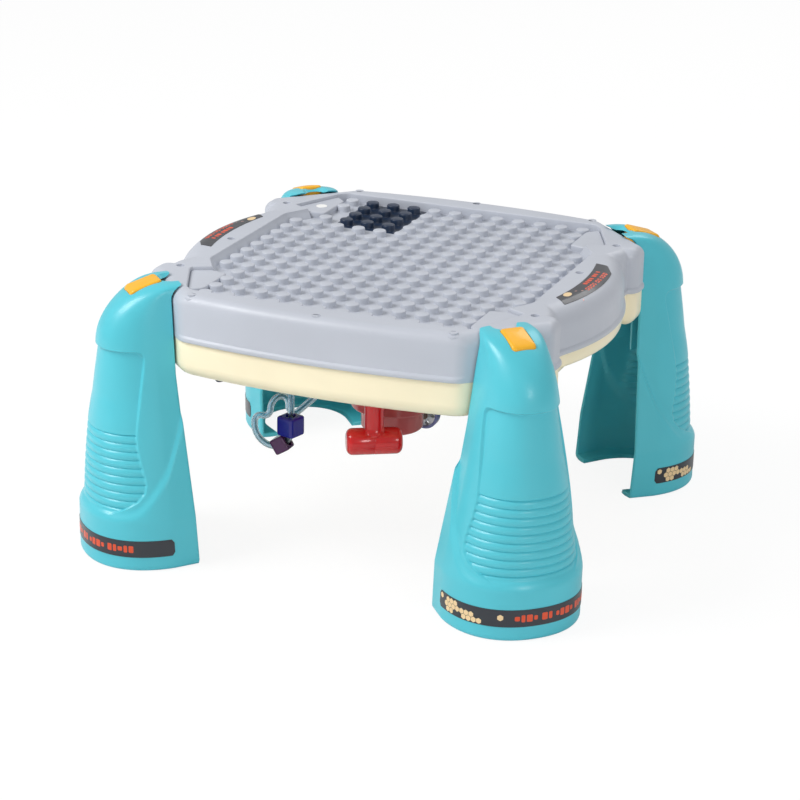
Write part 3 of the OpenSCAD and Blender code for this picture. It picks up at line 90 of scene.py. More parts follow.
DRUM_AT, DRUM_D, DRUM_H, DRUM_PIN, BRIM_D, CUP_H = (23.0, -70.0), 41.2, 37.0, 4.0, 54.8, 14.6
WHEEL_AT, WHEEL_Z, WHEEL_D, WHEEL_T, WHEEL_PIN = (36.0, -43.2), UNDER_Z - 37.6, 19.4, 6.0, 1.8
RETAINER_Z, RETAINER_T = INNER_Z + 0.3, 2.0
TRACK_Y, LOOP_C, LOOP_R, TUBE_D = -100.0, (-49.5, UNDER_Z - 41.2), 13.2, 4.4
BLUE_BEAD, PURPLE_BEAD, BEAD_HANG, BEAD_EDGE = 13.6, 10.8, 0.8, 1.32
BLUE_TURN, PURPLE_TURN, BLUE_UP = -16.0, -58.0, 3.6
GEAR_R, GEAR_T, GEAR_GAP, GEAR_PIN = 16.4, 7.0, 2.0, 3.6
KEY_W, KEY_L, KEY_DOWN, KEY_PITCH, KEY_Y = 17.0, 46.0, 6.0, 20.0, 30.0
KEY_PIVOT = (73.0, INNER_Z + 4)
SPEAKER_AT, BATTERY_AT, BATTERY_SIZE, SWITCH_AT = (86.0, 40.0), (-12.0, -8.0), (66.0, 50.0), (62.0, -22.0)
BOARD_Z = INNER_Z + 10.5


# ---- numbers on arrays ----
def ease(x):
    """Smooth step: 0 below 0, 1 above 1, and three x squared less two x cubed between them."""
    x = np.clip(x, 0, 1)
    return x * x * (3 - 2 * x)


def unit(angle):
    """Cosine and sine of an angle in degrees."""
    return np.array([math.cos(math.radians(angle)), math.sin(math.radians(angle))])


def turned(points, angle, at=(0, 0)):
    """Points turned about the upright through at, by angle degrees."""
    c, s = unit(angle)
    p = np.array(points, float)
    x, y = p[..., 0] - at[0], p[..., 1] - at[1]
    p[..., 0], p[..., 1] = at[0] + c * x - s * y, at[1] + s * x + c * y
    return p


def level(loop, z):
    """A plan loop at one height, or at a height for each of its points."""
    return np.c_[loop, np.broadcast_to(float(z) if np.ndim(z) == 0 else z, len(loop))]


def edge_steps(edge, steps):
    """Inset and drop at each step of a quarter-round edge, from its side to its flat: edge times 1 less the cosine,
    and edge times 1 less the sine."""
    t = np.radians(np.linspace(0, 90, steps + 1))
    return list(zip(edge * (1 - np.cos(t)), edge * (1 - np.sin(t))))


def circle(r, n=32, at=(0, 0)):
    """Plan circle of radius r."""
    a = np.radians(360 * np.arange(n) / n)
    return np.stack([at[0] + r * np.cos(a), at[1] + r * np.sin(a)], -1)


def rings(profile, n, at=(0, 0)):
    """Profile of radius and height as rows of circles."""
    return np.stack([level(circle(r, n, at), z) for r, z in profile])


def rounded(cx, cy, hx, hy, r, steps=4):
    """Rectangle with rounded corners, counter-clockwise: half sizes hx and hy, corner radius r."""
    r = min(r, hx, hy)
    t = np.radians(90 * np.arange(steps + 1) / steps)
    out = []
    for k, (sx, sy) in enumerate([(1, 1), (-1, 1), (-1, -1), (1, -1)]):
        a = t + math.radians(90 * k)
        out.append(np.stack([cx + sx * (hx - r) + r * np.cos(a), cy + sy * (hy - r) + r * np.sin(a)], -1))
    return np.vstack(out)


def inset_loop(loop, d):
    """Loop moved inwards by d, each point along the bisector of its neighbours' normals."""
    loop = np.asarray(loop, float)
    e = np.roll(loop, -1, 0) - loop
    e /= np.maximum(np.linalg.norm(e, axis=1), 1e-9)[:, None]
    n = np.stack([-e[:, 1], e[:, 0]], -1)
    m = n + np.roll(n, 1, 0)
    m /= np.maximum(np.linalg.norm(m, axis=1), 1e-9)[:, None]
    return loop + m * (d / np.maximum((m * n).sum(1), 0.4))[:, None]


def edged_rows(loop, z0, z1, edge, steps):
    """Rows of a prism from z0 to z1 with quarter-round edges: the loop shrinks by edge times 1 less the sine as the
    height closes on either end by edge times 1 less the cosine."""
    turn = edge_steps(edge, steps)
    return np.stack([level(inset_loop(loop, d), z0 + i) for i, d in turn]
                    + [level(inset_loop(loop, d), z1 - i) for i, d in turn[::-1]])


def soften(loop, radii, steps=5):
    """Loop with each corner turned by a parabola that starts and ends its radius away; a radius of 0 keeps it."""
    out = []
    for k, p in enumerate(loop):
        if radii[k] == 0:
            out.append(p[None])
            continue
        a, b = loop[k - 1] - p, loop[(k + 1) % len(loop)] - p
        la, lb = np.linalg.norm(a), np.linalg.norm(b)
        d = min(radii[k], 0.45 * la, 0.45 * lb)
        t = np.linspace(0, 1, steps)[:, None]
        out.append((1 - t) ** 2 * (p + a / la * d) + 2 * t * (1 - t) * p + t * t * (p + b / lb * d))
    return np.vstack(out)


# ---- meshes from arrays ----
class Shape:
    """Vertices and faces of one piece, in millimetres. place moves points from a frame of their own to where they
    belong, and paint is the number of their finish, for all that is added while they are set."""

    def __init__(self, place=lambda p: p):
        self.place, self.paint, self.count = place, 0, 0
        self.points, self.faces, self.finish = [], [], []

    def add(self, points, faces):
        points = self.place(np.asarray(points, float).reshape(-1, 3))
        self.points.append(points)
        self.faces.extend([tuple(int(i) + self.count for i in f) for f in faces])
        self.finish.extend([self.paint] * len(faces))
        self.count += len(points)

    def grid(self, p, close_u=False, close_v=False, flip=False):
        """Quads between the neighbours of a grid of points p[u, v], joined round where a direction closes."""
        nu, nv = p.shape[:2]
        index = np.arange(nu * nv).reshape(nu, nv)
        if close_u:
            index = np.vstack([index, index[:1]])
        if close_v:
            index = np.hstack([index, index[:, :1]])
        a, b, c, d = index[:-1, :-1], index[1:, :-1], index[1:, 1:], index[:-1, 1:]
        quads = np.stack([a, d, c, b] if flip else [a, b, c, d], -1).reshape(-1, 4)
        self.add(p, quads.tolist())

    def wall(self, loop, z0, z1, flip=False):
        """Upright wall over a loop."""
        self.grid(np.stack([level(loop, z0), level(loop, z1)]), close_v=True, flip=flip)

    def cap(self, loop, flip=False):
        """One flat face over a closed loop."""
        order = list(range(len(loop)))
        self.add(loop, [order[::-1] if flip else order])

    def solid(self, rows):
        """Closed form over rows of one loop each: quads between them and a flat face on either end."""
        rows = np.asarray(rows, float)
        self.grid(rows, close_v=True, flip=True)
        self.cap(rows[0], flip=True)
        self.cap(rows[-1])

    def plate(self, loop, holes, z, down=False):
        """Flat region at height z inside loop and outside the holes: the triangles of a constrained Delaunay
        triangulation whose middles an even-odd count of crossed edges puts inside."""
        loops = [np.asarray(r, float)[:, :2] for r in [loop] + list(holes)]
        loops = [r[np.linalg.norm(r - np.roll(r, 1, 0), axis=1) > 1e-6] for r in loops]
        edges, start = [], 0
        for r in loops:
            edges += [(start + k, start + (k + 1) % len(r)) for k in range(len(r))]
            start += len(r)
        flat = delaunay_2d_cdt([Vector(p) for p in np.vstack(loops)], edges, [], 0, 1e-9)
        pts, tris = (np.array([tuple(p) for p in flat[k]]) for k in (0, 2))
        mid = pts[tris].mean(1)
        inside = np.zeros(len(mid), bool)
        for r in loops:
            for p, q in zip(r, np.roll(r, -1, 0)):
                crosses = (p[1] > mid[:, 1]) != (q[1] > mid[:, 1])
                if crosses.any():
                    x = p[0] + (mid[:, 1] - p[1]) / (q[1] - p[1]) * (q[0] - p[0])
                    inside ^= crosses & (mid[:, 0] < x)
        a, b, c = (pts[tris[:, k]] for k in range(3))
        up = (b[:, 0] - a[:, 0]) * (c[:, 1] - a[:, 1]) - (b[:, 1] - a[:, 1]) * (c[:, 0] - a[:, 0]) > 0
        tris[up == down] = tris[up == down][:, ::-1]
        self.add(level(pts, z), tris[inside].tolist())

    def lathe(self, profile, n=32, at=(0, 0)):
        """Surface of revolution: profile is radius and height along the outline, with the solid on its left going
        up; its ends are closed by flat faces."""
        self.solid(rings([(max(r, 1e-4), z) for r, z in profile], n, at))

    def bored(self, profile, n=32, at=(0, 0)):
        """Surface of revolution that doesn't reach its axis: profile is a closed loop of radius and height."""
        self.grid(rings(profile, n, at), close_u=True, close_v=True, flip=True)

    def prism(self, loop, z0, z1, edge=0.4, steps=2):
        """Upright prism over a loop with quarter-round edges."""
        self.solid(edged_rows(loop, z0, z1, edge, steps))

    def block(self, lo, hi, edge=0.3):
        """Box between two corners with all its edges rounded."""
        c, h = (np.array(lo) + hi) / 2, (np.array(hi) - lo) / 2
        self.prism(rounded(c[0], c[1], h[0], h[1], edge * 1.2, 2), lo[2], hi[2], edge)

    def swept(self, path, r, sides, ref=(0, 0, 1), bore=0.0):
        """Round bar along a path, or a tube where bore is its inner radius: rings square to the path's tangent, their
        first point kept off the direction ref."""
        t = np.gradient(path, axis=0)
        t /= np.linalg.norm(t, axis=1)[:, None]
        u = np.cross(t, np.asarray(ref, float))
        u /= np.linalg.norm(u, axis=1)[:, None]
        a = np.radians(360 * np.arange(sides) / sides)[:, None]
        around = np.cos(a) * u[:, None] + np.sin(a) * np.cross(t, u)[:, None]
        rows = path[:, None] + r * around
        if bore:
            inside = path[:, None] + bore * around
            self.grid(rows, close_v=True, flip=True)
            self.grid(inside, close_v=True)
            self.grid(np.stack([inside[0], rows[0]]), close_v=True, flip=True)
            self.grid(np.stack([rows[-1], inside[-1]]), close_v=True, flip=True)
        else:
            self.solid(rows)

    def object(self, name, *keys, smooth=34.0):
        """Makes the mesh object: doubles merged, faces smooth but across edges sharper than the angle."""
        mesh = bpy.data.meshes.new(name)
        mesh.from_pydata((np.vstack(self.points) * MM).tolist(), [], self.faces)
        for key in keys:
            mesh.materials.append(finish(key))
        mesh.polygons.foreach_set("material_index", np.array(self.finish, np.int32))
        bm = bmesh.new()
        bm.from_mesh(mesh)
        bmesh.ops.remove_doubles(bm, verts=bm.verts, dist=2e-6)
        bmesh.ops.dissolve_degenerate(bm, edges=bm.edges, dist=1e-7)
        bm.to_mesh(mesh)
        bm.free()
        mesh.shade_smooth()
        mesh.set_sharp_from_angle(angle=math.radians(smooth))
        obj = bpy.data.objects.new(name, mesh)
        bpy.context.scene.collection.objects.link(obj)
        return obj

    def piece(self, name, body, node, *keys, smooth=34.0):
        """Makes the object with its finishes and hands it over."""
        return hand_over(self.object(name, *keys, smooth=smooth), body, keys[0], node)


def hand_over(obj, body, slot, *nodes):
    """Makes a finished piece ride on its body and stand for its solids, which it hides. The slot argument is not used.
    """
    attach(obj, body)
    if nodes:
        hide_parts(*nodes)
    return obj


def dress(node, key):
    """Gives a carried-over solid its finish."""
    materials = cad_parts[node].data.materials
    materials.clear()
    materials.append(finish(key))


# ---- plan of the table ----
def arc(c, r, a0, a1, n=60):
    """Points on a circle from angle a0 to a1 in degrees."""
    a = np.radians(np.linspace(a0, a1, n))
    return np.stack([c[0] + r * np.cos(a), c[1] + r * np.sin(a)], -1)


def along(line, start, stop, n):
    """n points at even steps of length along a polyline, from start to stop before its end."""
    s = np.r_[0, np.cumsum(np.linalg.norm(np.diff(line, axis=0), axis=1))]
    t = np.linspace(start, max(s[-1] - stop, start + 0.01), n)
    return np.stack([np.interp(t, s, line[:, k]) for k in (0, 1)], -1)


def quarter(g):
    """A quarter of the table's outline, moved outwards by g, from the middle of the right side to the middle of the
    rear: bulge arc, notch, post shoulder, post, corner face and rear bow, with each plan corner turned by a parabola
    between points a set way before and after it. Also how far each point belongs to the corner face."""
    bulge_c = (HALF_WIDTH - BULGE_R, 0.0)
    notch_x, post_x = NOTCH_X + g, POST_X + g
    y1 = math.sqrt((BULGE_R + g) ** 2 - (notch_x - bulge_c[0]) ** 2)
    bulge = arc(bulge_c, BULGE_R + g, 0, math.degrees(math.asin(y1 / (BULGE_R + g))))
    rho = max(POST_ROUND + g, 0.2)
    centre = (post_x - rho, POST_Y - g + rho)
    start = -90.0 if notch_x <= centre[0] else -math.degrees(math.acos((notch_x - centre[0]) / rho))
    shoulder = arc(centre, rho, start, 0)
    if notch_x < centre[0]:
        shoulder = np.vstack([[notch_x, POST_Y - g], shoulder])
    notch = np.array([[notch_x, y1], shoulder[0]])
    face = (CORNER_D + min(g, 0)) * math.sqrt(2)
    bow_c, bow_r = HALF_DEPTH - FRONT_R, FRONT_R + g
    half = (face - bow_c) / 2
    x6 = half - math.sqrt(bow_r ** 2 / 2 - half ** 2)
    y6 = face - x6
    if abs(math.hypot(x6, y6 - bow_c) - bow_r) >= 1e-6:
        x6, y6 = y6 - bow_c, bow_c + x6
    corner = np.array([[post_x, face - post_x], [x6, y6]])
    post = np.array([shoulder[-1], corner[0]])
    bow = arc((0, bow_c), bow_r, math.degrees(math.atan2(y6 - bow_c, x6)), 90)
    parts = [bulge, notch, shoulder, post, corner, bow]
    trims = [0, 5, 1.4, 0, 3.5, 5, 0]
    counts = [16, 3, 9, 3, 5, 18]
    out, weight = [], []
    for k, line in enumerate(parts):
        piece = along(line, trims[k], trims[k + 1], counts[k])
        if out and trims[k] > 0:
            a, b, c = out[-1][-1], line[0], piece[0]
            t = np.linspace(0, 1, 7)[1:-1, None]
            out.append((1 - t) ** 2 * a + 2 * t * (1 - t) * b + t * t * c)
            side = t[:, 0] if k == 4 else 1 - t[:, 0] if k == 5 else 0 * t[:, 0]
            weight.append(ease(side))
        elif out:
            piece = piece[1:]
        out.append(piece)
        weight.append(np.full(len(piece), 1.0 if k == 4 else 0.0))
    return np.vstack(out), np.concatenate(weight)


def outline(g):
    """The whole outline, counter-clockwise from the middle of the right side, moved outwards by g, with the corner
    share of each point: the quarter mirrored in turn over both axes."""
    q, w = quarter(g)
    mx, my, both = q * [-1, 1], q * [1, -1], q * [-1, -1]
    return (np.vstack([q[:-1], mx[::-1][:-1], both[:-1], my[::-1][:-1]]),
            np.concatenate([w[:-1], w[::-1][:-1], w[:-1], w[::-1][:-1]]))


def bulge_normals(loop):
    """Directions square to the arc of the side bulge that lies on each point's side."""
    away = loop - np.sign(loop) * [HALF_WIDTH - BULGE_R, 0]
    return away / np.linalg.norm(away, axis=1)[:, None]


BULGE_SHARE = ease((75.0 - np.abs(outline(0)[0][:, 1])) / 11.0)


def outline_rows(profile):
    """A profile carried along the outline: each entry is outward shift and height and, for the larger edge radius of
    the corner faces and then of the side bulges, an extra inward shift and drop there."""
    rows = []
    for g, z, *extra in profile:
        shift, drop, shift_b, drop_b = (list(extra) + [0] * 4)[:4]
        loop, w = outline(g)
        away = np.sign(loop) / math.sqrt(2)
        moved = loop - away * (w * shift)[:, None] - bulge_normals(loop) * (BULGE_SHARE * shift_b)[:, None]
        rows.append(np.c_[moved, z - w * drop - BULGE_SHARE * drop_b])
    return np.stack(rows)


def rounding(r, r_corner, r_bulge, g, z, steps):
    """Quarter-round edge from the wall at shift g to the flat face at height z, as profile entries."""
    k, m = r_corner - r, r_bulge - r
    return [(g - r * i, z - r * d, k * i, k * d, m * i, m * d) for i, d in edge_steps(1, steps)]


# ---- sunk field ----
FIELD_TOP = [(0, -127.5), (94, -127.5), (100, -122), (116, -86), (116, -83), (104, -77), (104, -77), (114, -60),
             (114, 60), (104, 77), (104, 77), (116, 83), (116, 86), (100, 122), (94, 127.5), (0, 127.5)]
FIELD_FLOOR = [(0, -127.2), (94, -127.2), (99.8, -121.8), (115.7, -86), (115.7, -83.2), (104.2, -77.4), (101, -75.2),
               (110.7, -59), (110.7, 59), (101, 75.2), (104.2, 77.4), (115.7, 83.2), (115.7, 86), (99.8, 121.8),
               (94, 127.2), (0, 127.2)]
FIELD_SOFT = [0, 2.5, 2.5, 1.6, 1.6, 0, 0, 3, 3, 0, 0, 1.6, 1.6, 2.5, 2.5, 0]


def field_loop(corners, grow=0.0):
    """Outline of the field, counter-clockwise, grown by grow, with its corners turned by parabolas."""
    right = np.array(corners, float)
    left = (right * [-1, 1])[::-1]
    loop = soften(np.vstack([right[:-1], left[:-1]]), FIELD_SOFT[:-1] + FIELD_SOFT[::-1][:-1], 6)
    return grown_field(loop, grow) if grow else loop


def grown_field(loop, d):
    """Field outline moved outwards by d along its normals, where doubled points share one normal."""
    n = len(loop)
    ahead, behind = np.empty_like(loop), np.empty_like(loop)
    for k in range(n):
        j = (k + 1) % n
        while np.linalg.norm(loop[j] - loop[k]) < 1e-6:
            j = (j + 1) % n
        i = k - 1
        while np.linalg.norm(loop[i] - loop[k]) < 1e-6:
            i -= 1
        ahead[k], behind[k] = loop[j] - loop[k], loop[k] - loop[i]
    e1 = behind / np.linalg.norm(behind, axis=1)[:, None]
    e2 = ahead / np.linalg.norm(ahead, axis=1)[:, None]
    m = np.stack([e1[:, 1] + e2[:, 1], -e1[:, 0] - e2[:, 0]], -1)
    m /= np.linalg.norm(m, axis=1)[:, None]
    k = np.maximum((m * np.stack([e1[:, 1], -e1[:, 0]], -1)).sum(1), 0.5)
    return loop + m * (d / k)[:, None]


def stud_places():
    """Centres of the shell's own studs and of the dark insert's, on the square grid without the corner pockets."""
    shell, insert = [], []
    for i in np.arange(-6.5, 7):
        for j in np.arange(-7.5, 8):
            if -5 < i < -2 and j > 4:
                insert.append((i * STUD_PITCH, j * STUD_PITCH))
            elif (abs(i) < 6.5 or abs(j) < 4) and not (i < -5 and j == 5.5):
                shell.append((i * STUD_PITCH, j * STUD_PITCH))
    return shell, insert


def studs(shape, places, sizes):
    """Round studs: a cylinder that flares at its foot and has a quarter-round upper edge."""
    r = STUD_D / 2
    profile = [(r + 0.5, FIELD_Z - 0.2), (r + 0.12, FIELD_Z + 0.35), (r, FIELD_Z + 1.0)]
    profile += [(r - i, STUD_Z - d) for i, d in edge_steps(sizes.stud_soft / MM, 3)]
    for at in places:
        shape.lathe(profile, sizes.stud_sides, at)


# ---- legs ----
CAP_Z, BROW_Z, KNEE_Z = TABLE_H + 2, TABLE_H - 37.5, 40.0
CROWN_GAP, LEG_GAP = 0.5, 0.6
EDGE_TOP, EDGE_SPLAY, ROUND_Z = CORNER_D + LEG_GAP, 9.3, TABLE_H - CORNER_ROUND
LEG_REACH, BROW_REACH, LEG_HALF, LEG_T = 55.6, 45.4, 43.2, 2.4
SKIRT_T, PANEL_SINK, SOLE_W, SOLE_T = 2.4, 2.0, 12.0, 2.8
RIB_LO, RIB_HI, PANEL_LO = 41.5, 90.5, 37.0
CREASE_LO, CREASE_HI, CREASE_FALL, CREASE_BEND = 36.0, 99.5, 145.0, 6.0
LABEL_LO, LABEL_HI = 10.0, 21.5
HEX_PITCH, LONE_HEX, BARS_AT = 3.7, 47.0, 56.0


def edge_d(h):
    """Distance of a leg's free edge from the table's centre: upright beside the shell, running in under the table
    below it, and following the shell's rounded edge at the crown."""
    r = CORNER_ROUND + LEG_GAP + CROWN_GAP * np.minimum(1, (h - ROUND_Z) / 4)
    crown = CORNER_D - CORNER_ROUND + np.sqrt(np.maximum(1, r ** 2 - (h - ROUND_Z) ** 2))
    return np.where(h > ROUND_Z, crown, np.where(h > UNDER_Z, EDGE_TOP, EDGE_TOP - EDGE_SPLAY * (1 - h / UNDER_Z)))


def rise(h):
    """Share of the way up the crown, from the brow to the cap."""
    return np.clip((h - BROW_Z) / (CAP_Z - BROW_Z), 0, 0.9985)


def tip_d(h):
    """Distance of the outer face on the diagonal: upright foot, a shaft leaning in by a power of 1.6, and a crown
    that closes as a superellipse of power 1.9."""
    shaft = CORNER_D + LEG_REACH - (LEG_REACH - BROW_REACH) * (np.clip(h - KNEE_Z, 0, None) / (BROW_Z - KNEE_Z)) ** 1.6
    crown = EDGE_TOP + 1.4 + (BROW_REACH - LEG_GAP - 1.4) * (1 - rise(h) ** 1.9) ** (1 / 1.9)
    return np.where(h < BROW_Z, shaft, crown)


def half_w(h):
    """Half width: even at the foot, tapering above it, rounded off at the crown."""
    return np.minimum(LEG_HALF, LEG_HALF - 1.9 - 0.163 * (h - 46)) * np.where(h > BROW_Z, (1 - rise(h) ** 30) ** 0.22, 1)


def edge_w(h):
    """Half width at the free edge."""
    return half_w(h) - 2 * np.clip((165 - h) / 60, 0, 1)


def skirt(s, h):
    """How far the skirt round the foot stands out: full below a crease, level in the middle and rising in a straight
    line to the free edges, with a hyperbola as the bend between the two."""
    side = CREASE_HI - CREASE_FALL * (1 - np.abs(s))
    crease = (side + CREASE_LO) / 2 + np.hypot((side - CREASE_LO) / 2, CREASE_BEND)
    toe = np.where(h < 3, np.sqrt(np.clip(1 - (1 - h / 3) ** 2, 0, 1)), 1)
    return SKIRT_T * ease((crease - h) / 7 + 0.5) * toe


PANEL_H = [PANEL_LO, 42, 47, 53, 60, 75, 88, 105, 133, BROW_Z]
PANEL_HALF = [0.30, 0.45, 0.55, 0.61, 0.62, 0.58, 0.56, 0.585, 0.64, 0.65]
PANEL_EDGE, PANEL_CORNER, PANEL_WIDE = 1.5, 6.0, 56.0


def panel_s(h):
    """Half width of the panel as a share of the way from the diagonal to the free edge, eased between set heights."""
    near = np.stack([np.interp(h + d, PANEL_H, PANEL_HALF) for d in (-2, -1, 0, 1, 2)])
    return near.mean(0)


def in_panel(s, h):
    """1 inside the hollow panel of the outer face, 0 outside it: an eased step of the distance from its side and its
    brow, where the upper corners are turned by a quarter circle."""
    side, brow = (panel_s(h) - np.abs(s)) * PANEL_WIDE, BROW_Z - 0.8 - h
    round_in = PANEL_CORNER - np.hypot(np.clip(PANEL_CORNER - side, 0, None), np.clip(PANEL_CORNER - brow, 0, None))
    depth = np.where((side < PANEL_CORNER) & (brow < PANEL_CORNER), round_in, np.minimum(side, brow))
    return ease(depth / PANEL_EDGE) * ease((h - PANEL_LO) / 3)


def rib(h, height, count):
    """Grip ribs: a root of the sine's absolute value, flat above with sharp grooves between them, count of them in
    all. Past the first and the last groove the face comes up as high and falls away again."""
    wave = np.abs(np.sin(math.pi * count * (h - RIB_LO) / (RIB_HI - RIB_LO)))
    past = np.clip(np.maximum(h - RIB_HI, RIB_LO - h), 0, None)
    return height * np.where(past > 0, ease(past / 1.8 + 0.2) * (1 - ease(past / 22)), wave) ** 0.55


def leg_face(s, h, grow):
    """Point of a leg's face: s runs from -1 at one free edge over 0 on the diagonal to 1 at the other, h is the
    height. The outer three quarters are a superellipse of power 2.2, the rest a straight side to the free edge."""
    s, h, grow = np.broadcast_arrays(np.asarray(s, float), np.asarray(h, float), np.asarray(grow, float))
    d0, tip = edge_d(h), tip_d(h)
    dc = d0 + 0.28 * (tip - d0)
    a, b = tip - dc + grow, half_w(h) + grow
    u = np.abs(s) / 0.74
    th = math.pi / 2 * (1 - np.minimum(1, u))
    v = np.clip((np.abs(s) - 0.74) / 0.26, 0, 1)
    d = np.where(u < 1, dc + a * np.sin(th) ** (2 / 2.2), dc + (d0 - dc) * v)
    w = np.sign(s) * np.where(u < 1, b * np.clip(np.cos(th), 0, 1) ** (2 / 2.2), b + (edge_w(h) - half_w(h)) * v)
    return np.stack([d, w, h], -1)


def leg_swell(s, h, rib_h=0.0, rib_n=9):
    """Outward shift of a leg's face for skirt, panel and ribs."""
    return skirt(s, h) - in_panel(s, h) * (PANEL_SINK - rib(h, rib_h, rib_n))


def at_corner(q):
    """Puts points of a corner's own frame, X outwards along the diagonal, in their place."""
    return lambda p: turned(p, 45 + 90 * q)


def leg_shell(shape, rib_h, rib_n, columns):
    """Wall of a leg as rows of closed loops: the outer face, a half-round free edge, the inner face a wall's
    thickness inside, and the other free edge. The lowest rows of the inner face are the flat sole, and the crown's
    inner rows lie lower than the outer ones by the wall's thickness."""
    foot = np.array([0.0, 0.25, 0.6, 1.0, 1.6, 2.4, 3.4])
    low = np.concatenate([np.arange(5, PANEL_LO - 1, 1.5), np.arange(PANEL_LO - 1, RIB_LO, 0.5)])
    ribs = np.linspace(RIB_LO, RIB_HI, 8 * rib_n + 1)
    shaft = np.arange(RIB_HI + 1.0, BROW_Z - 8, 1.6)
    brow = np.linspace(BROW_Z - 7, BROW_Z + 1.5, 18)
    t = np.linspace(0, 1, 30)[1:]
    crown = BROW_Z + (CAP_Z - BROW_Z) * np.minimum(0.9985, 0.04 + 0.9585 * (1 - (1 - t) ** 2.1))
    h = np.concatenate([foot, low, ribs, shaft, brow, crown])
    half = (columns + 1) // 2
    even, kinks = np.linspace(0, 1, half), np.array([0, 0.52, 0.68, 1.0])
    knots = np.stack([0 * h, panel_s(h) - PANEL_EDGE / PANEL_WIDE, panel_s(h), 0 * h + 1], -1)
    follows = ease((h - 20) / 20) * ease((BROW_Z + 20 - h) / 20)
    s_half = np.stack([even + (np.interp(even, kinks, k) - even) * f for k, f in zip(knots, follows)])
    s_out = np.concatenate([-s_half[:, :0:-1], s_half], 1)
    s_in = np.linspace(1, -1, half)
    outer = leg_face(s_out, h[:, None], leg_swell(s_out, h[:, None], rib_h, rib_n))
    z_in = np.where(h > BROW_Z, BROW_Z + (h - BROW_Z) * (CAP_Z - LEG_T - BROW_Z) / (CAP_Z - 0.06 - BROW_Z), h)
    depth = np.full(len(h), LEG_T)
    z_in[:7] = [0, 0.3, SOLE_T - 0.5, SOLE_T, SOLE_T, SOLE_T + 0.4, SOLE_T + 1.3]
    depth[:7] = [SOLE_W, SOLE_W + 0.2, SOLE_W + 0.2, SOLE_W - 0.4, LEG_T + 1.2, LEG_T + 0.3, LEG_T]
    inner = leg_face(s_in[None], h[:, None], leg_swell(s_in[None], h[:, None], rib_h, rib_n) - depth[:, None])
    inner[..., 0] = np.maximum(inner[..., 0], edge_d(z_in)[:, None])
    inner[..., 2] = z_in[:, None]
    lip = 0.8
    for face in (outer, inner):
        face[..., 0] = np.maximum(face[..., 0], edge_d(face[..., 2]) + lip)
    k = np.linspace(0, 1, 5)[1:-1]
    out = lip * np.sin(math.pi * k)
    ends = []
    for a, b in ((outer[:, -1], inner[:, 0]), (inner[:, -1], outer[:, 0])):
        mid = a[:, None] + (b - a)[:, None] * k[None, :, None]
        mid[..., 0] -= out[None]
        ends.append(mid)
    shape.grid(np.concatenate([outer, ends[0], inner, ends[1]], 1), close_v=True, flip=True)
    n_out, n_in = outer.shape[1], inner.shape[1]
    pick = np.linspace(0, n_out - 1, n_in).round().astype(int)
    for row, flip in ((0, False), (-1, True)):
        pts = np.concatenate([outer[row], inner[row][::-1]])
        faces = []
        for j in range(n_in - 1):
            f = list(range(pick[j], pick[j + 1] + 1)) + [n_out + j + 1, n_out + j]
            faces.append(f if flip else f[::-1])
        for mid, first, last in ((ends[1][row], n_out, 0), (ends[0][row], n_out - 1, n_out + n_in - 1)):
            f = [first] + list(range(len(pts), len(pts) + len(mid))) + [last]
            pts = np.concatenate([pts, mid])
            faces.append(f[::-1] if flip else f)
        shape.add(pts, faces)


def cut_opening(obj, place):
    """Cuts the button's opening through the crown with a rounded upright prism, and bakes the cut into the mesh."""
    s = Shape(place)
    loop = rounded(BUTTON_D0 + BUTTON_L / 2, 0, BUTTON_L / 2 + 0.3, BUTTON_W / 2 + 0.3, 2.8, 5)
    s.prism(loop, ROOF_Z + ROOF_T + 0.4, TABLE_H + 12, 0.01, 1)
    cutter = s.object(obj.name + "_opening")
    cut = obj.modifiers.new("Opening", "BOOLEAN")
    cut.operation, cut.solver, cut.object = "DIFFERENCE", "EXACT", cutter
    done = bpy.data.meshes.new_from_object(obj.evaluated_get(bpy.context.evaluated_depsgraph_get()))
    obj.modifiers.clear()
    old, name = obj.data, obj.data.name
    obj.data = done
    bpy.data.meshes.remove(old)
    done.name = name
    done.set_sharp_from_angle(angle=math.radians(34))
    bpy.data.objects.remove(cutter)


def wall_at(w, z):
    """Distance of a leg's inner face at the offset w from the diagonal and the height z."""
    h = BROW_Z + (z - BROW_Z) * (CAP_Z - BROW_Z) / (CAP_Z - LEG_T - BROW_Z) if z > BROW_Z else z
    s = np.linspace(0, 0.74, 80)
    face = leg_face(s, h, leg_swell(s, h) - LEG_T)
    return float(np.interp(abs(w), face[:, 1], face[:, 0]))


def guide_plate(shape, w, d0, z0, z1):
    """Upright guide beside a tongue: a plate 2 mm thick whose outer edge follows the leg's inner face."""
    z = np.linspace(z0, z1, 12)
    far = np.maximum([wall_at(abs(w) + 1, a) + 0.6 for a in z], d0 + 1)
    d, z = np.r_[np.full(12, d0), far[::-1]], np.r_[z, z[::-1]]
    shape.solid([np.c_[d, np.full(24, w + t), z] for t in (1.0, -1.0)])


# ---- finishes ----
def add_node(tree, kind, **values):
    """Adds a shader node. Each value goes to the node's property of its name, or else to the input of that name, or
    of the number after in_, where a socket is linked and any other value is set. Returns the node's outputs."""
    n = tree.nodes.new("ShaderNode" + kind)
    for key, value in values.items():
        if hasattr(n, key):
            setattr(n, key, value)
            continue
        socket = n.inputs[int(key[3:]) if key.startswith("in_") else key.replace("_", " ")]
        if isinstance(value, bpy.types.NodeSocket):
            tree.links.new(value, socket)
        else:
            socket.default_value = value
    return n.outputs


def shader_of(owner):
    """Node tree of a material or world, emptied."""
    owner.use_nodes = True
    owner.node_tree.nodes.clear()
    return owner.node_tree


def linear(colour):
    """Scene-linear values of a colour that is written as it looks on a screen."""
    return tuple((x / 12.92 if x <= 0.04045 else ((x + 0.055) / 1.055) ** 2.4) for x in colour[:3])


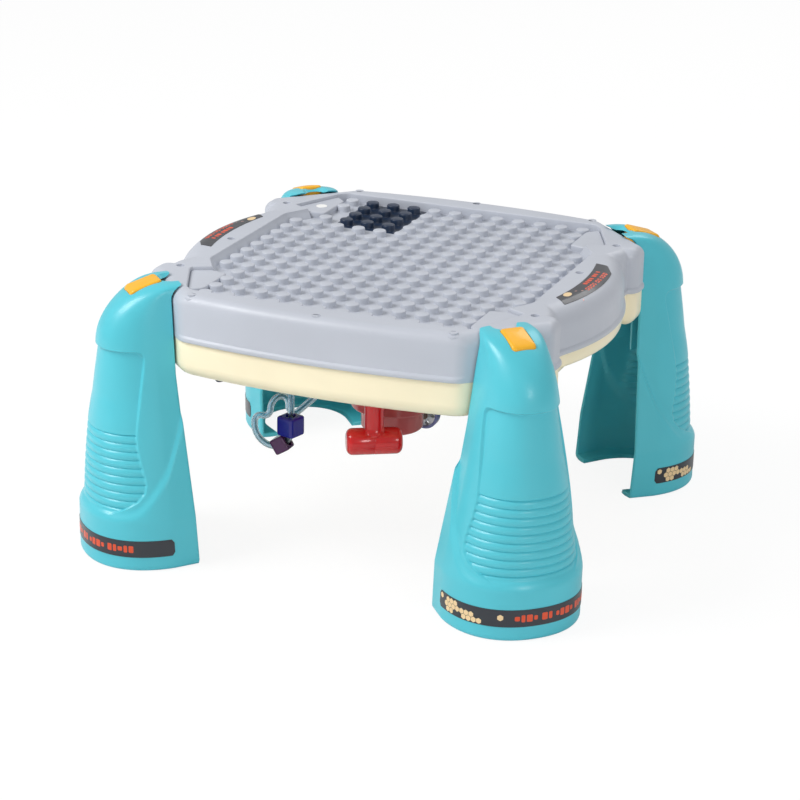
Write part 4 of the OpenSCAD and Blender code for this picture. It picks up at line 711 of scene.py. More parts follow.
def moulded(name, colour, rough, grain, mottle=0.05, scuff=0.10, coat=0.0, transmission=0.0, metallic=0.0,
            subsurface=0.0):
    """Moulded plastic or plain metal: slow shifts of tone, a fine mould grain as bump, and faint rubbed streaks that
    change the roughness. All patterns lie in object coordinates."""
    m = bpy.data.materials.new(name)
    t = shader_of(m)
    where = add_node(t, "TexCoord")["Object"]
    slow = add_node(t, "TexNoise", Vector=where, Scale=14.0, Detail=3.0)["Fac"]
    shade = add_node(t, "MapRange", Value=slow, From_Min=0.3, From_Max=0.7, To_Min=1 - mottle, To_Max=1 + mottle * 0.6)
    tone = add_node(t, "VectorMath", operation="SCALE", in_0=linear(colour), Scale=shade[0])
    stretch = add_node(t, "Mapping", Vector=where, Scale=(9.0, 34.0, 16.0), Rotation=(0.3, 0.5, 0.7))
    rubbed = add_node(t, "TexNoise", Vector=stretch[0], Scale=3.0, Detail=2.0, Roughness=0.5)["Fac"]
    worn = add_node(t, "MapRange", Value=rubbed, From_Min=0.35, From_Max=0.75, To_Min=rough - scuff * 0.3,
                    To_Max=rough + scuff)
    fine = add_node(t, "TexNoise", Vector=where, Scale=1000.0 / GRAIN_PITCH, Detail=2.0)["Fac"]
    sink = add_node(t, "TexNoise", Vector=where, Scale=70.0, Detail=1.0)["Fac"]
    height = add_node(t, "Math", operation="MULTIPLY_ADD", in_0=sink, in_1=1.5, in_2=fine)
    bump = add_node(t, "Bump", Strength=1.0, Distance=grain * 0.4 * MM, Height=height[0])
    shader = add_node(t, "BsdfPrincipled", Base_Color=tone[0], Roughness=worn[0], Normal=bump[0], Metallic=metallic,
                      IOR=1.46, Coat_Weight=coat, Coat_Roughness=0.08, Transmission_Weight=transmission,
                      Subsurface_Weight=subsurface, Subsurface_Radius=(0.004, 0.003, 0.002))
    add_node(t, "OutputMaterial", Surface=shader[0])
    return m


GRAIN_PITCH = 0.35
# colour or the name of the panel's colour, roughness, height of the grain in millimetres, and what else differs
FINISH_VALUES = {
    "grey_shell": ("upper_shell", 0.40, 0.010, dict(coat=0.04)),
    "cream_shell": ("lower_shell", 0.36, 0.008, dict(coat=0.06, subsurface=0.04)),
    "navy_insert": ("insert", 0.33, 0.010, dict(coat=0.1)),
    "steel": ((0.72, 0.73, 0.75), 0.32, 0.006, dict(metallic=1.0, mottle=0.1)),
    # painted shade: the shell screws are given a darker steel than they have, to stand in for the shade down in their
    # deep cups
    "black_steel": ((0.16, 0.16, 0.18), 0.45, 0.006, dict(metallic=0.6, mottle=0.1)),
    "label_dark": ("label", 0.32, 0.004, dict(coat=0.3, mottle=0.03)),
    "sticker_white": ((0.96, 0.96, 0.95), 0.35, 0.004, dict(mottle=0.02)),
    "cyan_leg": ("leg", 0.32, 0.007, dict(coat=0.10, mottle=0.035)),
    "amber_button": ("button", 0.32, 0.008, dict(coat=0.1, subsurface=0.05)),
    "clear_tube": ((0.80, 0.88, 0.92), 0.05, 0.0004, dict(transmission=0.95, scuff=0.01)),
    "blue_bead": ("blue_bead", 0.22, 0.003, dict(coat=0.15, scuff=0.04)),
    "purple_bead": ("purple_bead", 0.22, 0.003, dict(coat=0.15, scuff=0.04)),
    "red_handle": ("handle", 0.18, 0.002, dict(coat=0.4, scuff=0.03)),
    "pink_clear": ("drum", 0.14, 0.003, dict(transmission=0.35, scuff=0.04)),
    "white_plastic": ((0.90, 0.91, 0.90), 0.33, 0.008, {}),
    "clear_wheel": ((0.93, 0.94, 0.96), 0.14, 0.003, dict(transmission=0.45)),
    "slate_gear": ((0.23, 0.25, 0.31), 0.33, 0.010, {}),
    "pad_rubber": ((0.80, 0.80, 0.78), 0.7, 0.02, {}),
    "board_green": ((0.12, 0.36, 0.20), 0.4, 0.01, {}),
    "battery_green": ((0.25, 0.45, 0.30), 0.32, 0.005, {}),
    "contact_metal": ((0.80, 0.78, 0.72), 0.32, 0.006, dict(metallic=1.0)),
    "hexagon_print": ((0.94, 0.82, 0.63), 0.32, 0.003, dict(mottle=0.03)),
    "orange_print": ((0.88, 0.32, 0.18), 0.32, 0.003, dict(mottle=0.03)),
    "pink_print": ((0.93, 0.70, 0.66), 0.32, 0.003, dict(mottle=0.03)),
    "wheel_rim": ((0.50, 0.52, 0.74), 0.2, 0.003, dict(transmission=0.3, scuff=0.04)),
    "axle_brown": ((0.38, 0.28, 0.24), 0.35, 0.006, {}),
}
FINISHES = {}


def finish(key):
    """Material of a slot, made once from its values and the colours of the panel."""
    if key not in FINISHES:
        colour, rough, grain, more = FINISH_VALUES[key]
        if isinstance(colour, str):
            colour = getattr(bpy.context.scene.activity_table_colours, colour)
        FINISHES[key] = moulded(key, colour, rough, grain, **more)
    return FINISHES[key]


# ---- panel values ----
class TableSizes(bpy.types.PropertyGroup):
    """Small forms that can be changed without touching the solids."""
    stud_soft: FloatProperty(name="Stud edge", description="Radius of a stud's upper edge", default=0.0009,
                             min=0.0002, max=0.002, unit="LENGTH", precision=4)
    rib_height: FloatProperty(name="Rib height", description="Height of the grip ribs on the legs", default=0.0011,
                              min=0.0002, max=0.0014, unit="LENGTH", precision=4)
    rib_count: IntProperty(name="Rib count", description="Number of grip ribs on a leg", default=9, min=6, max=12)
    floor_size: FloatProperty(name="Floor size", description="Width of the floor", default=14.0, min=4.0, max=30.0,
                              unit="LENGTH")
    stud_sides: IntProperty(name="Stud sides", description="Facets round a stud", default=20, min=12, max=40)
    leg_columns: IntProperty(name="Leg columns", description="Columns of the grid round a leg", default=129, min=65,
                             max=181)


def colour_prop(name, words, value):
    """Colour property for the panel."""
    return FloatVectorProperty(name=name, description=words, default=value, size=3, min=0, max=1, subtype="COLOR_GAMMA")


class TableColours(bpy.types.PropertyGroup):
    """Colours of the moulded pieces."""
    upper_shell: colour_prop("Upper shell", "Grey of the building top", (0.745, 0.762, 0.800))
    lower_shell: colour_prop("Lower shell", "Cream of the toy side", (0.985, 0.940, 0.810))
    insert: colour_prop("Stud insert", "Dark plate in the field", (0.10, 0.17, 0.27))
    leg: colour_prop("Legs", "Cyan of the legs", (0.33, 0.77, 0.83))
    button: colour_prop("Buttons", "Amber of the release buttons", (0.98, 0.72, 0.16))
    label: colour_prop("Labels", "Dark ground of the labels", (0.17, 0.18, 0.21))
    blue_bead: colour_prop("Blue bead", "Large bead", (0.11, 0.09, 0.50))
    purple_bead: colour_prop("Purple bead", "Small bead", (0.27, 0.10, 0.29))
    handle: colour_prop("Handle", "Red of the twist handle", (0.78, 0.05, 0.06))
    drum: colour_prop("Drum", "Pink of the rattle drum", (0.86, 0.42, 0.42))


# ---- pieces ----
MOUTH_SOFT, PAD_SOFT, HOLE_SOFT = 0.9, 1.3, 0.4
TONGUE_IN, TONGUE_OUT = CORNER_D - 6, CORNER_D + TONGUE_L
POCKET = np.array([[92, 80], [104.6, 77.25], [115.8, 83], [115.8, 86], [99.9, 121.9], [92, 114.3]])
POCKET_SOFT = [2.5, 0.8, 1.0, 1.0, 2.0, 2.5]


def pocket_pad(shape, loop):
    """Raised floor of a corner pocket: a flat pad with softly rounded upper edges."""
    rows = [level(loop, FIELD_Z - 0.5)]
    rows += [level(inset_loop(loop, i), STUD_Z - d) for i, d in edge_steps(PAD_SOFT, 4)]
    shape.grid(np.stack(rows), close_v=True, flip=True)
    shape.plate(loop, [], FIELD_Z - 0.5, down=True)
    shape.plate(rows[-1], [], STUD_Z)


def tongues(shape, z0, z1, more):
    """Half of the tongue at each corner: its two sides from z0 to z1 and more boxes, each given by where it starts
    and ends along the diagonal, across it and in height."""
    half = TONGUE_W / 2
    sides = [(TONGUE_IN, TONGUE_OUT, a, a + TONGUE_T, z0, z1) for a in (-half, half - TONGUE_T)]
    for q in range(4):
        shape.place = at_corner(q)
        for d0, d1, w0, w1, low, high in sides + more:
            shape.block((d0, w0, low), (d1, w1, high))
    shape.place = lambda p: p


class ACTIVITYTABLE_OT_upper_shell(bpy.types.Operator):
    """Grey upper shell: wall with its lip, rounded rim, sunk field with studs and corner pockets, screw cups"""
    bl_idname = "activitytable.upper_shell"
    bl_label = "Upper shell"

    def execute(self, context):
        s = Shape()
        lip_z = PART_Z + LIP_H
        wall = [(-WALL, PART_Z + 0.1), (-WALL + 0.3, PART_Z), (LIP_OUT - 0.9, PART_Z), (LIP_OUT - 0.3, PART_Z + 0.25),
                (LIP_OUT, PART_Z + 0.9), (LIP_OUT, lip_z - 1.3), (LIP_OUT - 0.35, lip_z - 0.5), (0.55, lip_z),
                (0.12, lip_z + 0.4), (0, lip_z + 1.1), (0, TABLE_H - 17)]
        rows = outline_rows(wall + rounding(TOP_ROUND, CORNER_ROUND, BULGE_ROUND, 0, TABLE_H, 10))
        s.grid(rows, close_v=True, flip=True)
        ceiling = TABLE_H - WALL
        inner = outline_rows([(-WALL, PART_Z + 0.1)] + rounding(4, 4, BULGE_ROUND - WALL, -WALL, ceiling, 4))
        s.grid(inner, close_v=True)
        high, low = field_loop(FIELD_TOP), field_loop(FIELD_FLOOR)
        slope_top, slope_foot = TABLE_H - MOUTH_SOFT, FIELD_Z + 0.6
        loops = [level(field_loop(FIELD_TOP, d), TABLE_H - i) for i, d in edge_steps(MOUTH_SOFT, 3)]
        loops += [level(high + (low - high) * k, slope_top + (slope_foot - slope_top) * k) for k in (0.35, 0.7)]
        loops += [level(low, slope_foot), level(grown_field(low, -0.18), FIELD_Z + 0.18),
                  level(grown_field(low, -0.6), FIELD_Z)]
        s.grid(np.stack(loops), close_v=True)
        s.plate(rows[-1], [loops[0]] + [circle(3.0, 24, p) for p in SCREWS], TABLE_H)
        s.plate(loops[-1], [], FIELD_Z)
        tub = grown_field(high, WALL)
        s.plate(inner[-1], [tub], ceiling, down=True)
        s.wall(tub, ceiling, FIELD_Z - FIELD_T, flip=True)
        s.plate(tub, [], FIELD_Z - FIELD_T, down=True)
        cup = [(3.0, TABLE_H), (2.86, TABLE_H - 0.14), (2.8, TABLE_H - 0.5), (2.8, TABLE_H - 9), (1.7, TABLE_H - 9),
               (1.7, PART_Z + 10), (1e-4, PART_Z + 10)]
        for p in SCREWS:
            s.grid(rings(cup, 24, p), close_v=True)
            s.lathe([(4.2, PART_Z + 0.2), (4.6, PART_Z + 0.6), (4.6, TABLE_H - 2)], 24, p)
        studs(s, stud_places()[0], context.scene.activity_table_sizes)
        for sx, sy in ((1, 1), (1, -1), (-1, 1), (-1, -1)):
            pocket_pad(s, soften((POCKET * [sx, sy])[::sx * sy], POCKET_SOFT[::sx * sy]))
        half, catch, roof = TONGUE_W / 2, CATCH_W / 2, TONGUE_HI - TONGUE_T
        z0 = PART_Z + 0.3
        tongues(s, z0, TONGUE_HI, [(TONGUE_OUT - TONGUE_T, TONGUE_OUT, -half, -catch, z0, TONGUE_HI),
                                   (TONGUE_OUT - TONGUE_T, TONGUE_OUT, catch, half, z0, TONGUE_HI),
                                   (TONGUE_IN, TONGUE_OUT, -half, -catch, roof, TONGUE_HI),
                                   (TONGUE_IN, TONGUE_OUT, catch, half, roof, TONGUE_HI),
                                   (TONGUE_IN, STEM_AT - catch, -half, half, roof, TONGUE_HI)])
        s.piece("upper_shell", "table", "top_shell", "grey_shell")
        # the screws take the dark steel as painted shade for the shade in the deep screw cups
        dress("shell_screws", "black_steel")
        return {"FINISHED"}


def deep_rows(g, wall, shelf_round, under_round):
    """Lower part of the lower shell's wall. Away from the bulges it runs down and turns in by a quarter circle. Under
    the bulges it turns in to a shelf, runs inwards to the deep part's side and follows that down in the same way."""
    loop = outline(g)[0]
    low, shelf = UNDER_Z + wall, SHELF_Z + wall
    under = (np.abs(outline(-LOWER_INSET)[0][:, 1]) < SHELF_Y)[:, None]
    normal = bulge_normals(loop)
    side = np.c_[np.sign(loop[:, 0]) * (DEEP_X - wall), loop[:, 1]]
    rows = [level(np.where(under, loop - normal * i, loop), shelf + d) for i, d in edge_steps(shelf_round, 5)]
    edge = loop - normal * shelf_round
    for share, z, z_shelf in ((0.6, shelf - 0.1, shelf - 0.001), (0.97, shelf - 0.3, shelf - 0.001),
                              (1.0, shelf - 0.8, shelf - 0.8)):
        rows.append(np.where(under, level(edge + (side - edge) * share, z_shelf), level(loop, z)))
    rows.append(level(np.where(under, side, loop), low + under_round + 0.3))
    for i, d in edge_steps(under_round, 8):
        rows.append(level(np.where(under, side - np.sign(loop) * [i, 0], outline(g - i)[0]), low + d))
    return np.stack(rows)


class ACTIVITYTABLE_OT_lower_shell(bpy.types.Operator):
    """Cream lower shell: rounded band and underside with its openings, grille, collars, gear posts and sockets"""
    bl_idname = "activitytable.lower_shell"
    bl_label = "Lower shell"

    def execute(self, context):
        s = Shape()
        g = -LOWER_INSET
        band = [(g - WALL, PART_Z - 0.3), (g - WALL + 0.3, PART_Z - 0.05), (g - 0.9, PART_Z - 0.05),
                (g - 0.3, PART_Z - 0.3), (g, PART_Z - 0.9)]
        rows = np.concatenate([outline_rows(band), deep_rows(g, 0, SHELF_ROUND, UNDER_ROUND)])
        s.grid(rows, close_v=True)
        inner = np.concatenate([outline_rows(band[:1]), deep_rows(g - WALL, WALL, 1.0, 4.0)])
        s.grid(inner, close_v=True, flip=True)
        holes = [rounded((k - 2) * KEY_PITCH, KEY_Y + KEY_L / 2, KEY_W / 2 + 0.9, KEY_L / 2 + 0.9, 1.6, 3)
                 for k in range(5)]
        holes += [circle(1.2, 12, np.array(SPEAKER_AT) + r * 4.6 * unit(a * 60 / max(1, r)))
                  for r in range(5) for a in range(max(1, 6 * r))]
        holes += [rounded(*BATTERY_AT, BATTERY_SIZE[0] / 2 + 1, BATTERY_SIZE[1] / 2 + 1, 1.0, 3),
                  rounded(*SWITCH_AT, 6, 2.5, 0.8, 3),
                  circle(STEM_D / 2 + 0.35, 32, HANDLE_AT), circle(DRUM_PIN + 0.35, 24, DRUM_AT)]
        outer_holes = [inset_loop(h, -HOLE_SOFT) for h in holes]
        for h, w in zip(holes, outer_holes):
            s.grid(np.stack([level(w, UNDER_Z), level(inset_loop(h, -HOLE_SOFT * 0.3), UNDER_Z + HOLE_SOFT * 0.3),
                             level(h, UNDER_Z + HOLE_SOFT), level(h, INNER_Z)]), close_v=True)
        s.plate(rows[-1], outer_holes, UNDER_Z, down=True)
        s.plate(inner[-1], holes, INNER_Z)
        for at, r in ((HANDLE_AT, STEM_D / 2), (DRUM_AT, DRUM_PIN)):
            s.bored([(r + 4, UNDER_Z + 1), (r + 4, UNDER_Z - 1), (r + 3.5, UNDER_Z - 1.5), (r + 0.6, UNDER_Z - 1.5),
                     (r + 0.35, UNDER_Z - 1.3), (r + 0.35, UNDER_Z + 1)], 40, at)
        gear_top = UNDER_Z - GEAR_GAP
        for at in gear_places():
            s.lathe([(GEAR_PIN - 0.4, gear_top - GEAR_T - 0.2), (GEAR_PIN, gear_top - GEAR_T + 0.3),
                     (GEAR_PIN, gear_top + 0.01), (GEAR_PIN + 2.2, gear_top + 0.01), (GEAR_PIN + 2.5, gear_top + 0.3),
                     (GEAR_PIN + 2.5, UNDER_Z + 1)], 28, at)
        r = TUBE_D / 2
        for end in (0, -1):
            s.bored([(r + 2.6, UNDER_Z + 1), (r + 2.2, UNDER_Z - 2.5), (r + 1.7, UNDER_Z - 3), (r + 0.3, UNDER_Z - 3),
                     (r + 0.05, UNDER_Z - 2.7), (r + 0.05, UNDER_Z + 1)], 28, track_path()[end, :2])
        half, z1 = TONGUE_W / 2, PART_Z - 0.3
        tongues(s, TONGUE_LO, z1, [(TONGUE_OUT - TONGUE_T, TONGUE_OUT, -half, half, TONGUE_LO, z1),
                                   (TONGUE_IN, TONGUE_OUT, -half, half, TONGUE_LO, TONGUE_LO + TONGUE_T)])
        for x in (-53, 53):
            s.block((x - 3.6, 69.6, INNER_Z - 1), (x + 3.6, 76.4, INNER_Z + 6.4))
        s.piece("lower_shell", "table", "bottom_shell", "cream_shell")
        return {"FINISHED"}


class ACTIVITYTABLE_OT_stud_insert(bpy.types.Operator):
    """Dark plate with three by four studs in the rear left of the field"""
    bl_idname = "activitytable.stud_insert"
    bl_label = "Stud insert"

    def execute(self, context):
        s = Shape()
        x0, x1 = -5 * STUD_PITCH + 0.15, -2 * STUD_PITCH - 0.15
        y0, y1 = 4 * STUD_PITCH + 0.15, 8 * STUD_PITCH - 1.35
        loop = rounded((x0 + x1) / 2, (y0 + y1) / 2, (x1 - x0) / 2, (y1 - y0) / 2, 1.2)
        s.prism(loop, FIELD_Z - INSERT_T, FIELD_Z + 0.03, 0.25)
        studs(s, stud_places()[1], context.scene.activity_table_sizes)
        s.piece("insert_plate", "table", "stud_insert", "navy_insert")
        return {"FINISHED"}


class ACTIVITYTABLE_OT_legs(bpy.types.Operator):
    """Four hollow legs with skirt, sunk panel, grip ribs, sole, button opening and the guides round the tongue"""
    bl_idname = "activitytable.legs"
    bl_label = "Legs"

    def execute(self, context):
        sizes = context.scene.activity_table_sizes
        near, half = EDGE_TOP + 1.6, TONGUE_W / 2 + 0.3
        wide, roof_top, hole = half + 0.5, ROOF_Z + ROOF_T, STEM_SQ / 2 + 0.25
        seat_far, roof_far = wall_at(wide, TONGUE_LO) - 0.3, wall_at(wide, roof_top) + 0.4
        for q, corner in enumerate(CORNERS):
            s = Shape(at_corner(q))
            leg_shell(s, sizes.rib_height / MM, sizes.rib_count, sizes.leg_columns)
            leg = s.object("hollow_leg_" + corner, "cyan_leg", smooth=40)
            cut_opening(leg, s.place)
            s = Shape(s.place)
            for side in (-1, 1):
                guide_plate(s, side * (half + 1.0), near, TONGUE_LO - 30, roof_top)
            s.block((near, -wide, TONGUE_LO - LEG_T - 0.15), (seat_far, wide, TONGUE_LO - 0.15))
            for d0, d1, w0, w1 in ((near, STEM_AT - hole, -wide, wide), (STEM_AT - hole, STEM_AT + hole, -wide, -hole),
                                   (STEM_AT - hole, STEM_AT + hole, hole, wide), (STEM_AT + hole, roof_far, -wide, wide)):
                s.block((d0, w0, ROOF_Z), (d1, w1, roof_top), 0.05)
            inside = s.object("leg_guides_" + corner, "cyan_leg")
            hand_over(leg, "leg_" + corner, "cyan_leg", "leg_" + corner)
            hand_over(inside, "leg_" + corner, "cyan_leg")
        return {"FINISHED"}


BUTTON_SOFT = 1.5


def button_loop(inset, r):
    """Plan of a button in its corner's frame, moved inwards by inset, with corner radius r."""
    return rounded(BUTTON_D0 + BUTTON_L / 2, 0, BUTTON_L / 2 - inset, BUTTON_W / 2 - inset, r, 6)


def on_crown(loop, drop=0.0):
    """Plan loop laid on the button's top, which follows the crown's superellipse, and lowered by drop."""
    x = np.clip((loop[:, 0] - EDGE_TOP - 1.4) / (BROW_REACH - LEG_GAP - 1.4), 0, 0.999)
    return level(loop, BROW_Z + (CAP_Z - BROW_Z) * (1 - x ** 1.9) ** (1 / 1.9) + BUTTON_UP - drop)


class ACTIVITYTABLE_OT_release_buttons(bpy.types.Operator):
    """Amber buttons that follow the crown's curve, with soft edges, and their springs"""
    bl_idname = "activitytable.release_buttons"
    bl_label = "Release buttons"

    def execute(self, context):
        rows = [level(button_loop(d, 2.5 - d), BUTTON_LOW + 0.5 - d) for d in (0.5, 0)]
        rows += [on_crown(button_loop(i, 2.5 - i * 0.8), d) for i, d in edge_steps(BUTTON_SOFT, 4)]
        rows += [on_crown(button_loop(i, 0.8 if i < 7 else 0.08)) for i in (2.6, 4.2, 5.8, 7.2, 7.9)]
        top, half = rows[-1], len(rows[-1]) // 2
        turn = np.radians(30 * np.arange(12 * SPRING_TURNS + 1))
        up = np.linspace(ROOF_Z + ROOF_T + SPRING_WIRE + 0.02, BUTTON_LOW - SPRING_WIRE - 0.02, len(turn))
        coil = np.stack([STEM_AT + SPRING_R * np.cos(turn), SPRING_R * np.sin(turn), up], -1)
        stem = STEM_SQ / 2
        for q, corner in enumerate(CORNERS):
            s = Shape(at_corner(q))
            s.grid(np.stack(rows), close_v=True, flip=True)
            s.cap(rows[0], flip=True)
            s.grid(np.stack([top[:half], top[half:][::-1]]), flip=True)
            s.block((STEM_AT - stem, -stem, ROOF_Z - 6), (STEM_AT + stem, stem, BUTTON_LOW + 0.8))
            s.piece("amber_release_" + corner, "button_" + corner, "release_button_" + corner, "amber_button",
                    smooth=40)
            s = Shape(s.place)
            s.swept(coil, SPRING_WIRE, 8)
            spring = s.piece("coil_spring_" + corner, "button_" + corner, "button_spring_" + corner, "steel",
                             smooth=60)
            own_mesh(spring)
        return {"FINISHED"}


# ---- labels ----
LABEL_END, LABEL_LIFT, LABEL_T, PRINT_T = 2.4, 0.28, 0.25, 0.05
LABEL_IN, STICKER_AT = 8.0, (-101, 94)


def print_on_leg(q):
    """Maps flat label points, millimetres round the foot from the diagonal and height, onto a leg's face. Also how
    far the label reaches from the diagonal."""
    s = np.linspace(-1, 1, 801)
    mid = (LABEL_LO + LABEL_HI) / 2
    face = leg_face(s, mid, leg_swell(s, mid))
    length = np.r_[0, np.cumsum(np.linalg.norm(np.diff(face, axis=0), axis=1))]
    length -= np.interp(0, s, length)

    def place(p):
        at = np.interp(p[..., 0], length, s)
        return turned(leg_face(at, p[..., 1], leg_swell(at, p[..., 1]) + LABEL_LIFT + p[..., 2]), 45 + 90 * q)
    return place, float(np.interp(0.75, s, length))


def label_sheet(shape, grid, thick):
    """Thin label over a grid of flat label points: an upper and a lower face joined by a rim."""
    out, back = (np.concatenate([grid, np.full(grid.shape[:2] + (1,), z)], -1) for z in (0.0, -thick))
    shape.grid(out)
    shape.grid(back, flip=True)
    rims = [np.concatenate([g[0], g[1:-1, -1], g[-1][::-1], g[1:-1, 0][::-1]]) for g in (back, out)]
    shape.grid(np.stack(rims), close_v=True, flip=True)


def decal(shape, loop, paint, thick=0.06):
    """Thin print: a loop of flat label points lifted by thick, with its sides running down into the label."""
    shape.paint = paint
    shape.solid([level(loop, z) for z in (-0.12, thick)])


def hexagon(x, y, r):
    """Regular hexagon with a corner at the top."""
    return turned(circle(r, 6), 30) + [x, y]


def honeycomb():
    """Cells of the generic honeycomb print: three rows of a hexagon grid that run out to the right."""
    rows = {2: (0, 2, 3, 4), 1: (1, 2, 3, 4, 5, 6, 7), 0: (2, 3, 6, 7, 8, 9)}
    return [(HEX_PITCH * (c + 0.5 * (r % 2)), HEX_PITCH * 0.866 * r) for r, columns in rows.items() for c in columns]


def bars(start, stop):
    """Places and widths of the generic bars: groups of short and long marks with a wider gap after each group."""
    out, x = [], start
    for group in ((3.2, 2.4, 3.8, 2.4), (3.8, 2.4), (2.4, 3.2, 3.8, 2.4), (3.2, 2.4, 3.2, 2.4, 3.2)):
        for w in group:
            if x + w < stop:
                out.append((x + w / 2, w))
            x += w + 1.0
        x += 2.0
    return out


class ACTIVITYTABLE_OT_foot_labels(bpy.types.Operator):
    """Dark bands round the feet with a generic honeycomb and a row of bars"""
    bl_idname = "activitytable.foot_labels"
    bl_label = "Foot labels"

    def execute(self, context):
        for q, corner in enumerate(CORNERS):
            place, reach = print_on_leg(q)
            s = Shape(place)
            x = np.linspace(-reach, reach, 90)
            over = np.clip(np.abs(x) - reach + LABEL_END, 0, LABEL_END)
            drop = LABEL_END - np.sqrt(LABEL_END ** 2 - over ** 2)
            high = LABEL_HI - LABEL_LO - 2 * drop
            grid = np.stack([np.stack([x, LABEL_LO + drop + high * t], -1) for t in np.linspace(0, 1, 5)])
            label_sheet(s, grid, 0.3)
            start = 3.4 - reach
            for x, y in honeycomb():
                decal(s, hexagon(start + x, LABEL_LO + 2.3 + y, HEX_PITCH * 0.53), 1)
            decal(s, hexagon(start + LONE_HEX, LABEL_LO + 6.3, HEX_PITCH * 0.58), 1)
            for k, (x, w) in enumerate(bars(start + BARS_AT, reach - 4)):
                decal(s, rounded(x, LABEL_LO + 5.7, w / 2, 2.4 if k % 3 else 1.5, 0.7, 3), 2)
            s.piece("foot_band_" + corner, "leg_" + corner, "foot_label_" + corner, "label_dark", "hexagon_print",
                    "orange_print", smooth=30)
        return {"FINISHED"}


def on_bulge(p):
    """Lifts plan points onto the upper shell by the side bulges: flat, then falling along the quarter circle of the
    bulge's edge. The third value is the height above that surface."""
    out = np.array(p, float)
    inwards = BULGE_R - np.hypot(out[..., 0] - HALF_WIDTH + BULGE_R, out[..., 1])
    fall = BULGE_ROUND - np.sqrt(BULGE_ROUND ** 2 - np.clip(BULGE_ROUND - inwards, 0, BULGE_ROUND) ** 2)
    out[..., 2] += TABLE_H - fall
    return out


class ACTIVITYTABLE_OT_side_labels(bpy.types.Operator):
    """Dark labels on the side bulges with generic marks, and the round sticker in the rear left pocket"""
    bl_idname = "activitytable.side_labels"
    bl_label = "Side labels and sticker"

    def execute(self, context):
        s = Shape()
        y = np.concatenate([np.linspace(-50.6, -42, 14)[:-1], np.linspace(-42, 36, 60)[:-1], np.linspace(36, 37.3, 5)])
        inner = np.maximum(128.6 - 196 + np.sqrt(196.0 ** 2 - (y + 2) ** 2), 122 - (y + 42) * 15.6 / 14)
        outer = HALF_WIDTH - BULGE_R + np.sqrt((BULGE_R - LABEL_IN) ** 2 - y ** 2)
        outer = np.minimum(outer, np.interp(y, [-50, 11, 27, 36, 38], [200, 150, 138, 133, 122]))
        width = np.maximum(outer - inner, 0.1)
        grid = np.stack([np.stack([inner + width * k, y], -1) for k in np.linspace(0, 1, 12)])
        spot = np.maximum(circle(1, 28) * [2.6, 4.4] + [128.9, -35.2], [126.2, -99])
        corners = np.array([[131.0, -26.5], [139.6, -34.0], [135.2, -22.6]])
        for turn in (0, 180):
            s.place = lambda p: turned(on_bulge(p + [0, 0, LABEL_T]), turn)
            s.paint = 0
            label_sheet(s, grid[:, ::-1], LABEL_T)
            decal(s, spot, 1, PRINT_T)
            for a, b in zip(corners, np.roll(corners, -1, 0)):
                n = (b - a)[::-1] * [-0.28, 0.28] / np.linalg.norm(b - a)
                decal(s, [a - n, b - n, b + n, a + n], 2, PRINT_T)
            for x, first, last in ((132.3, -10, 21), (137.4, -19, 23)):
                for m, w in bars(first, last):
                    decal(s, rounded(x - 0.0022 * (m - 2) ** 2, m, 1.5, w / 2, 0.6, 3), 3, PRINT_T)
        s.piece("bulge_labels", "table", "side_labels", "label_dark", "hexagon_print", "pink_print", "orange_print",
                smooth=30)
        s = Shape()
        s.lathe([(3.95, STUD_Z), (4.0, STUD_Z + 0.1), (3.9, STUD_Z + 0.24)], 40, STICKER_AT)
        s.piece("pocket_label", "table", "pocket_sticker", "sticker_white")
        return {"FINISHED"}


# ---- bead track ----
def upright(c, turn, r, a0, a1, steps):
    """Arc in an upright plane whose plan angle is turn."""
    a = np.radians(np.linspace(a0, a1, steps + 1))
    c2, s2 = unit(turn)
    return np.stack([c[0] + r * np.cos(a) * c2, c[1] + r * np.cos(a) * s2, c[2] + r * np.sin(a)], -1)


def track_path():
    """Line of the tube: down, round a loop, up through two small bends, over an arch and through a dip back up."""
    bend, arch, dip, last = 5.2, 7.5, 4.0, 9.0
    down_x, left_x = LOOP_C[0] + LOOP_R, LOOP_C[0] - LOOP_R
    step_z, rise_x, arch_z, turn = LOOP_C[1] + 7.2, left_x + 2 * bend + 1.1, UNDER_Z - 29, 62
    c, s = unit(turn)
    back = (rise_x + 2 * arch * c, TRACK_Y + 2 * arch * s)
    dip_z, dip_turn = arch_z - 1, 135
    dip_end = np.array([back[0] + dip, dip_z]) + dip * unit(180 + dip_turn)
    lean = dip_turn - 90
    lean_end = dip_end + 20 * unit(lean)
    last_c = (lean_end[0] - last * unit(lean)[1], lean_end[1] + last * unit(lean)[0])
    top = UNDER_Z + 6
    return np.vstack([
        [[down_x, TRACK_Y, top]], [[down_x, TRACK_Y, top - 20]],
        upright((LOOP_C[0], TRACK_Y, LOOP_C[1]), 0, LOOP_R, 0, -180, 32),
        upright((left_x + bend, TRACK_Y, step_z - bend), 0, bend, 180, 90, 9),
        upright((rise_x - bend, TRACK_Y, step_z + bend), 0, bend, 270, 360, 9),
        upright((rise_x + arch * c, TRACK_Y + arch * s, arch_z), turn, arch, 180, 0, 16),
        upright((back[0] + dip, back[1], dip_z), 0, dip, 180, 180 + dip_turn, 12),
        upright((last_c[0], back[1], last_c[1]), 0, last, 270 + lean, 360, 7),
        [[last_c[0] + last, back[1], top]]])


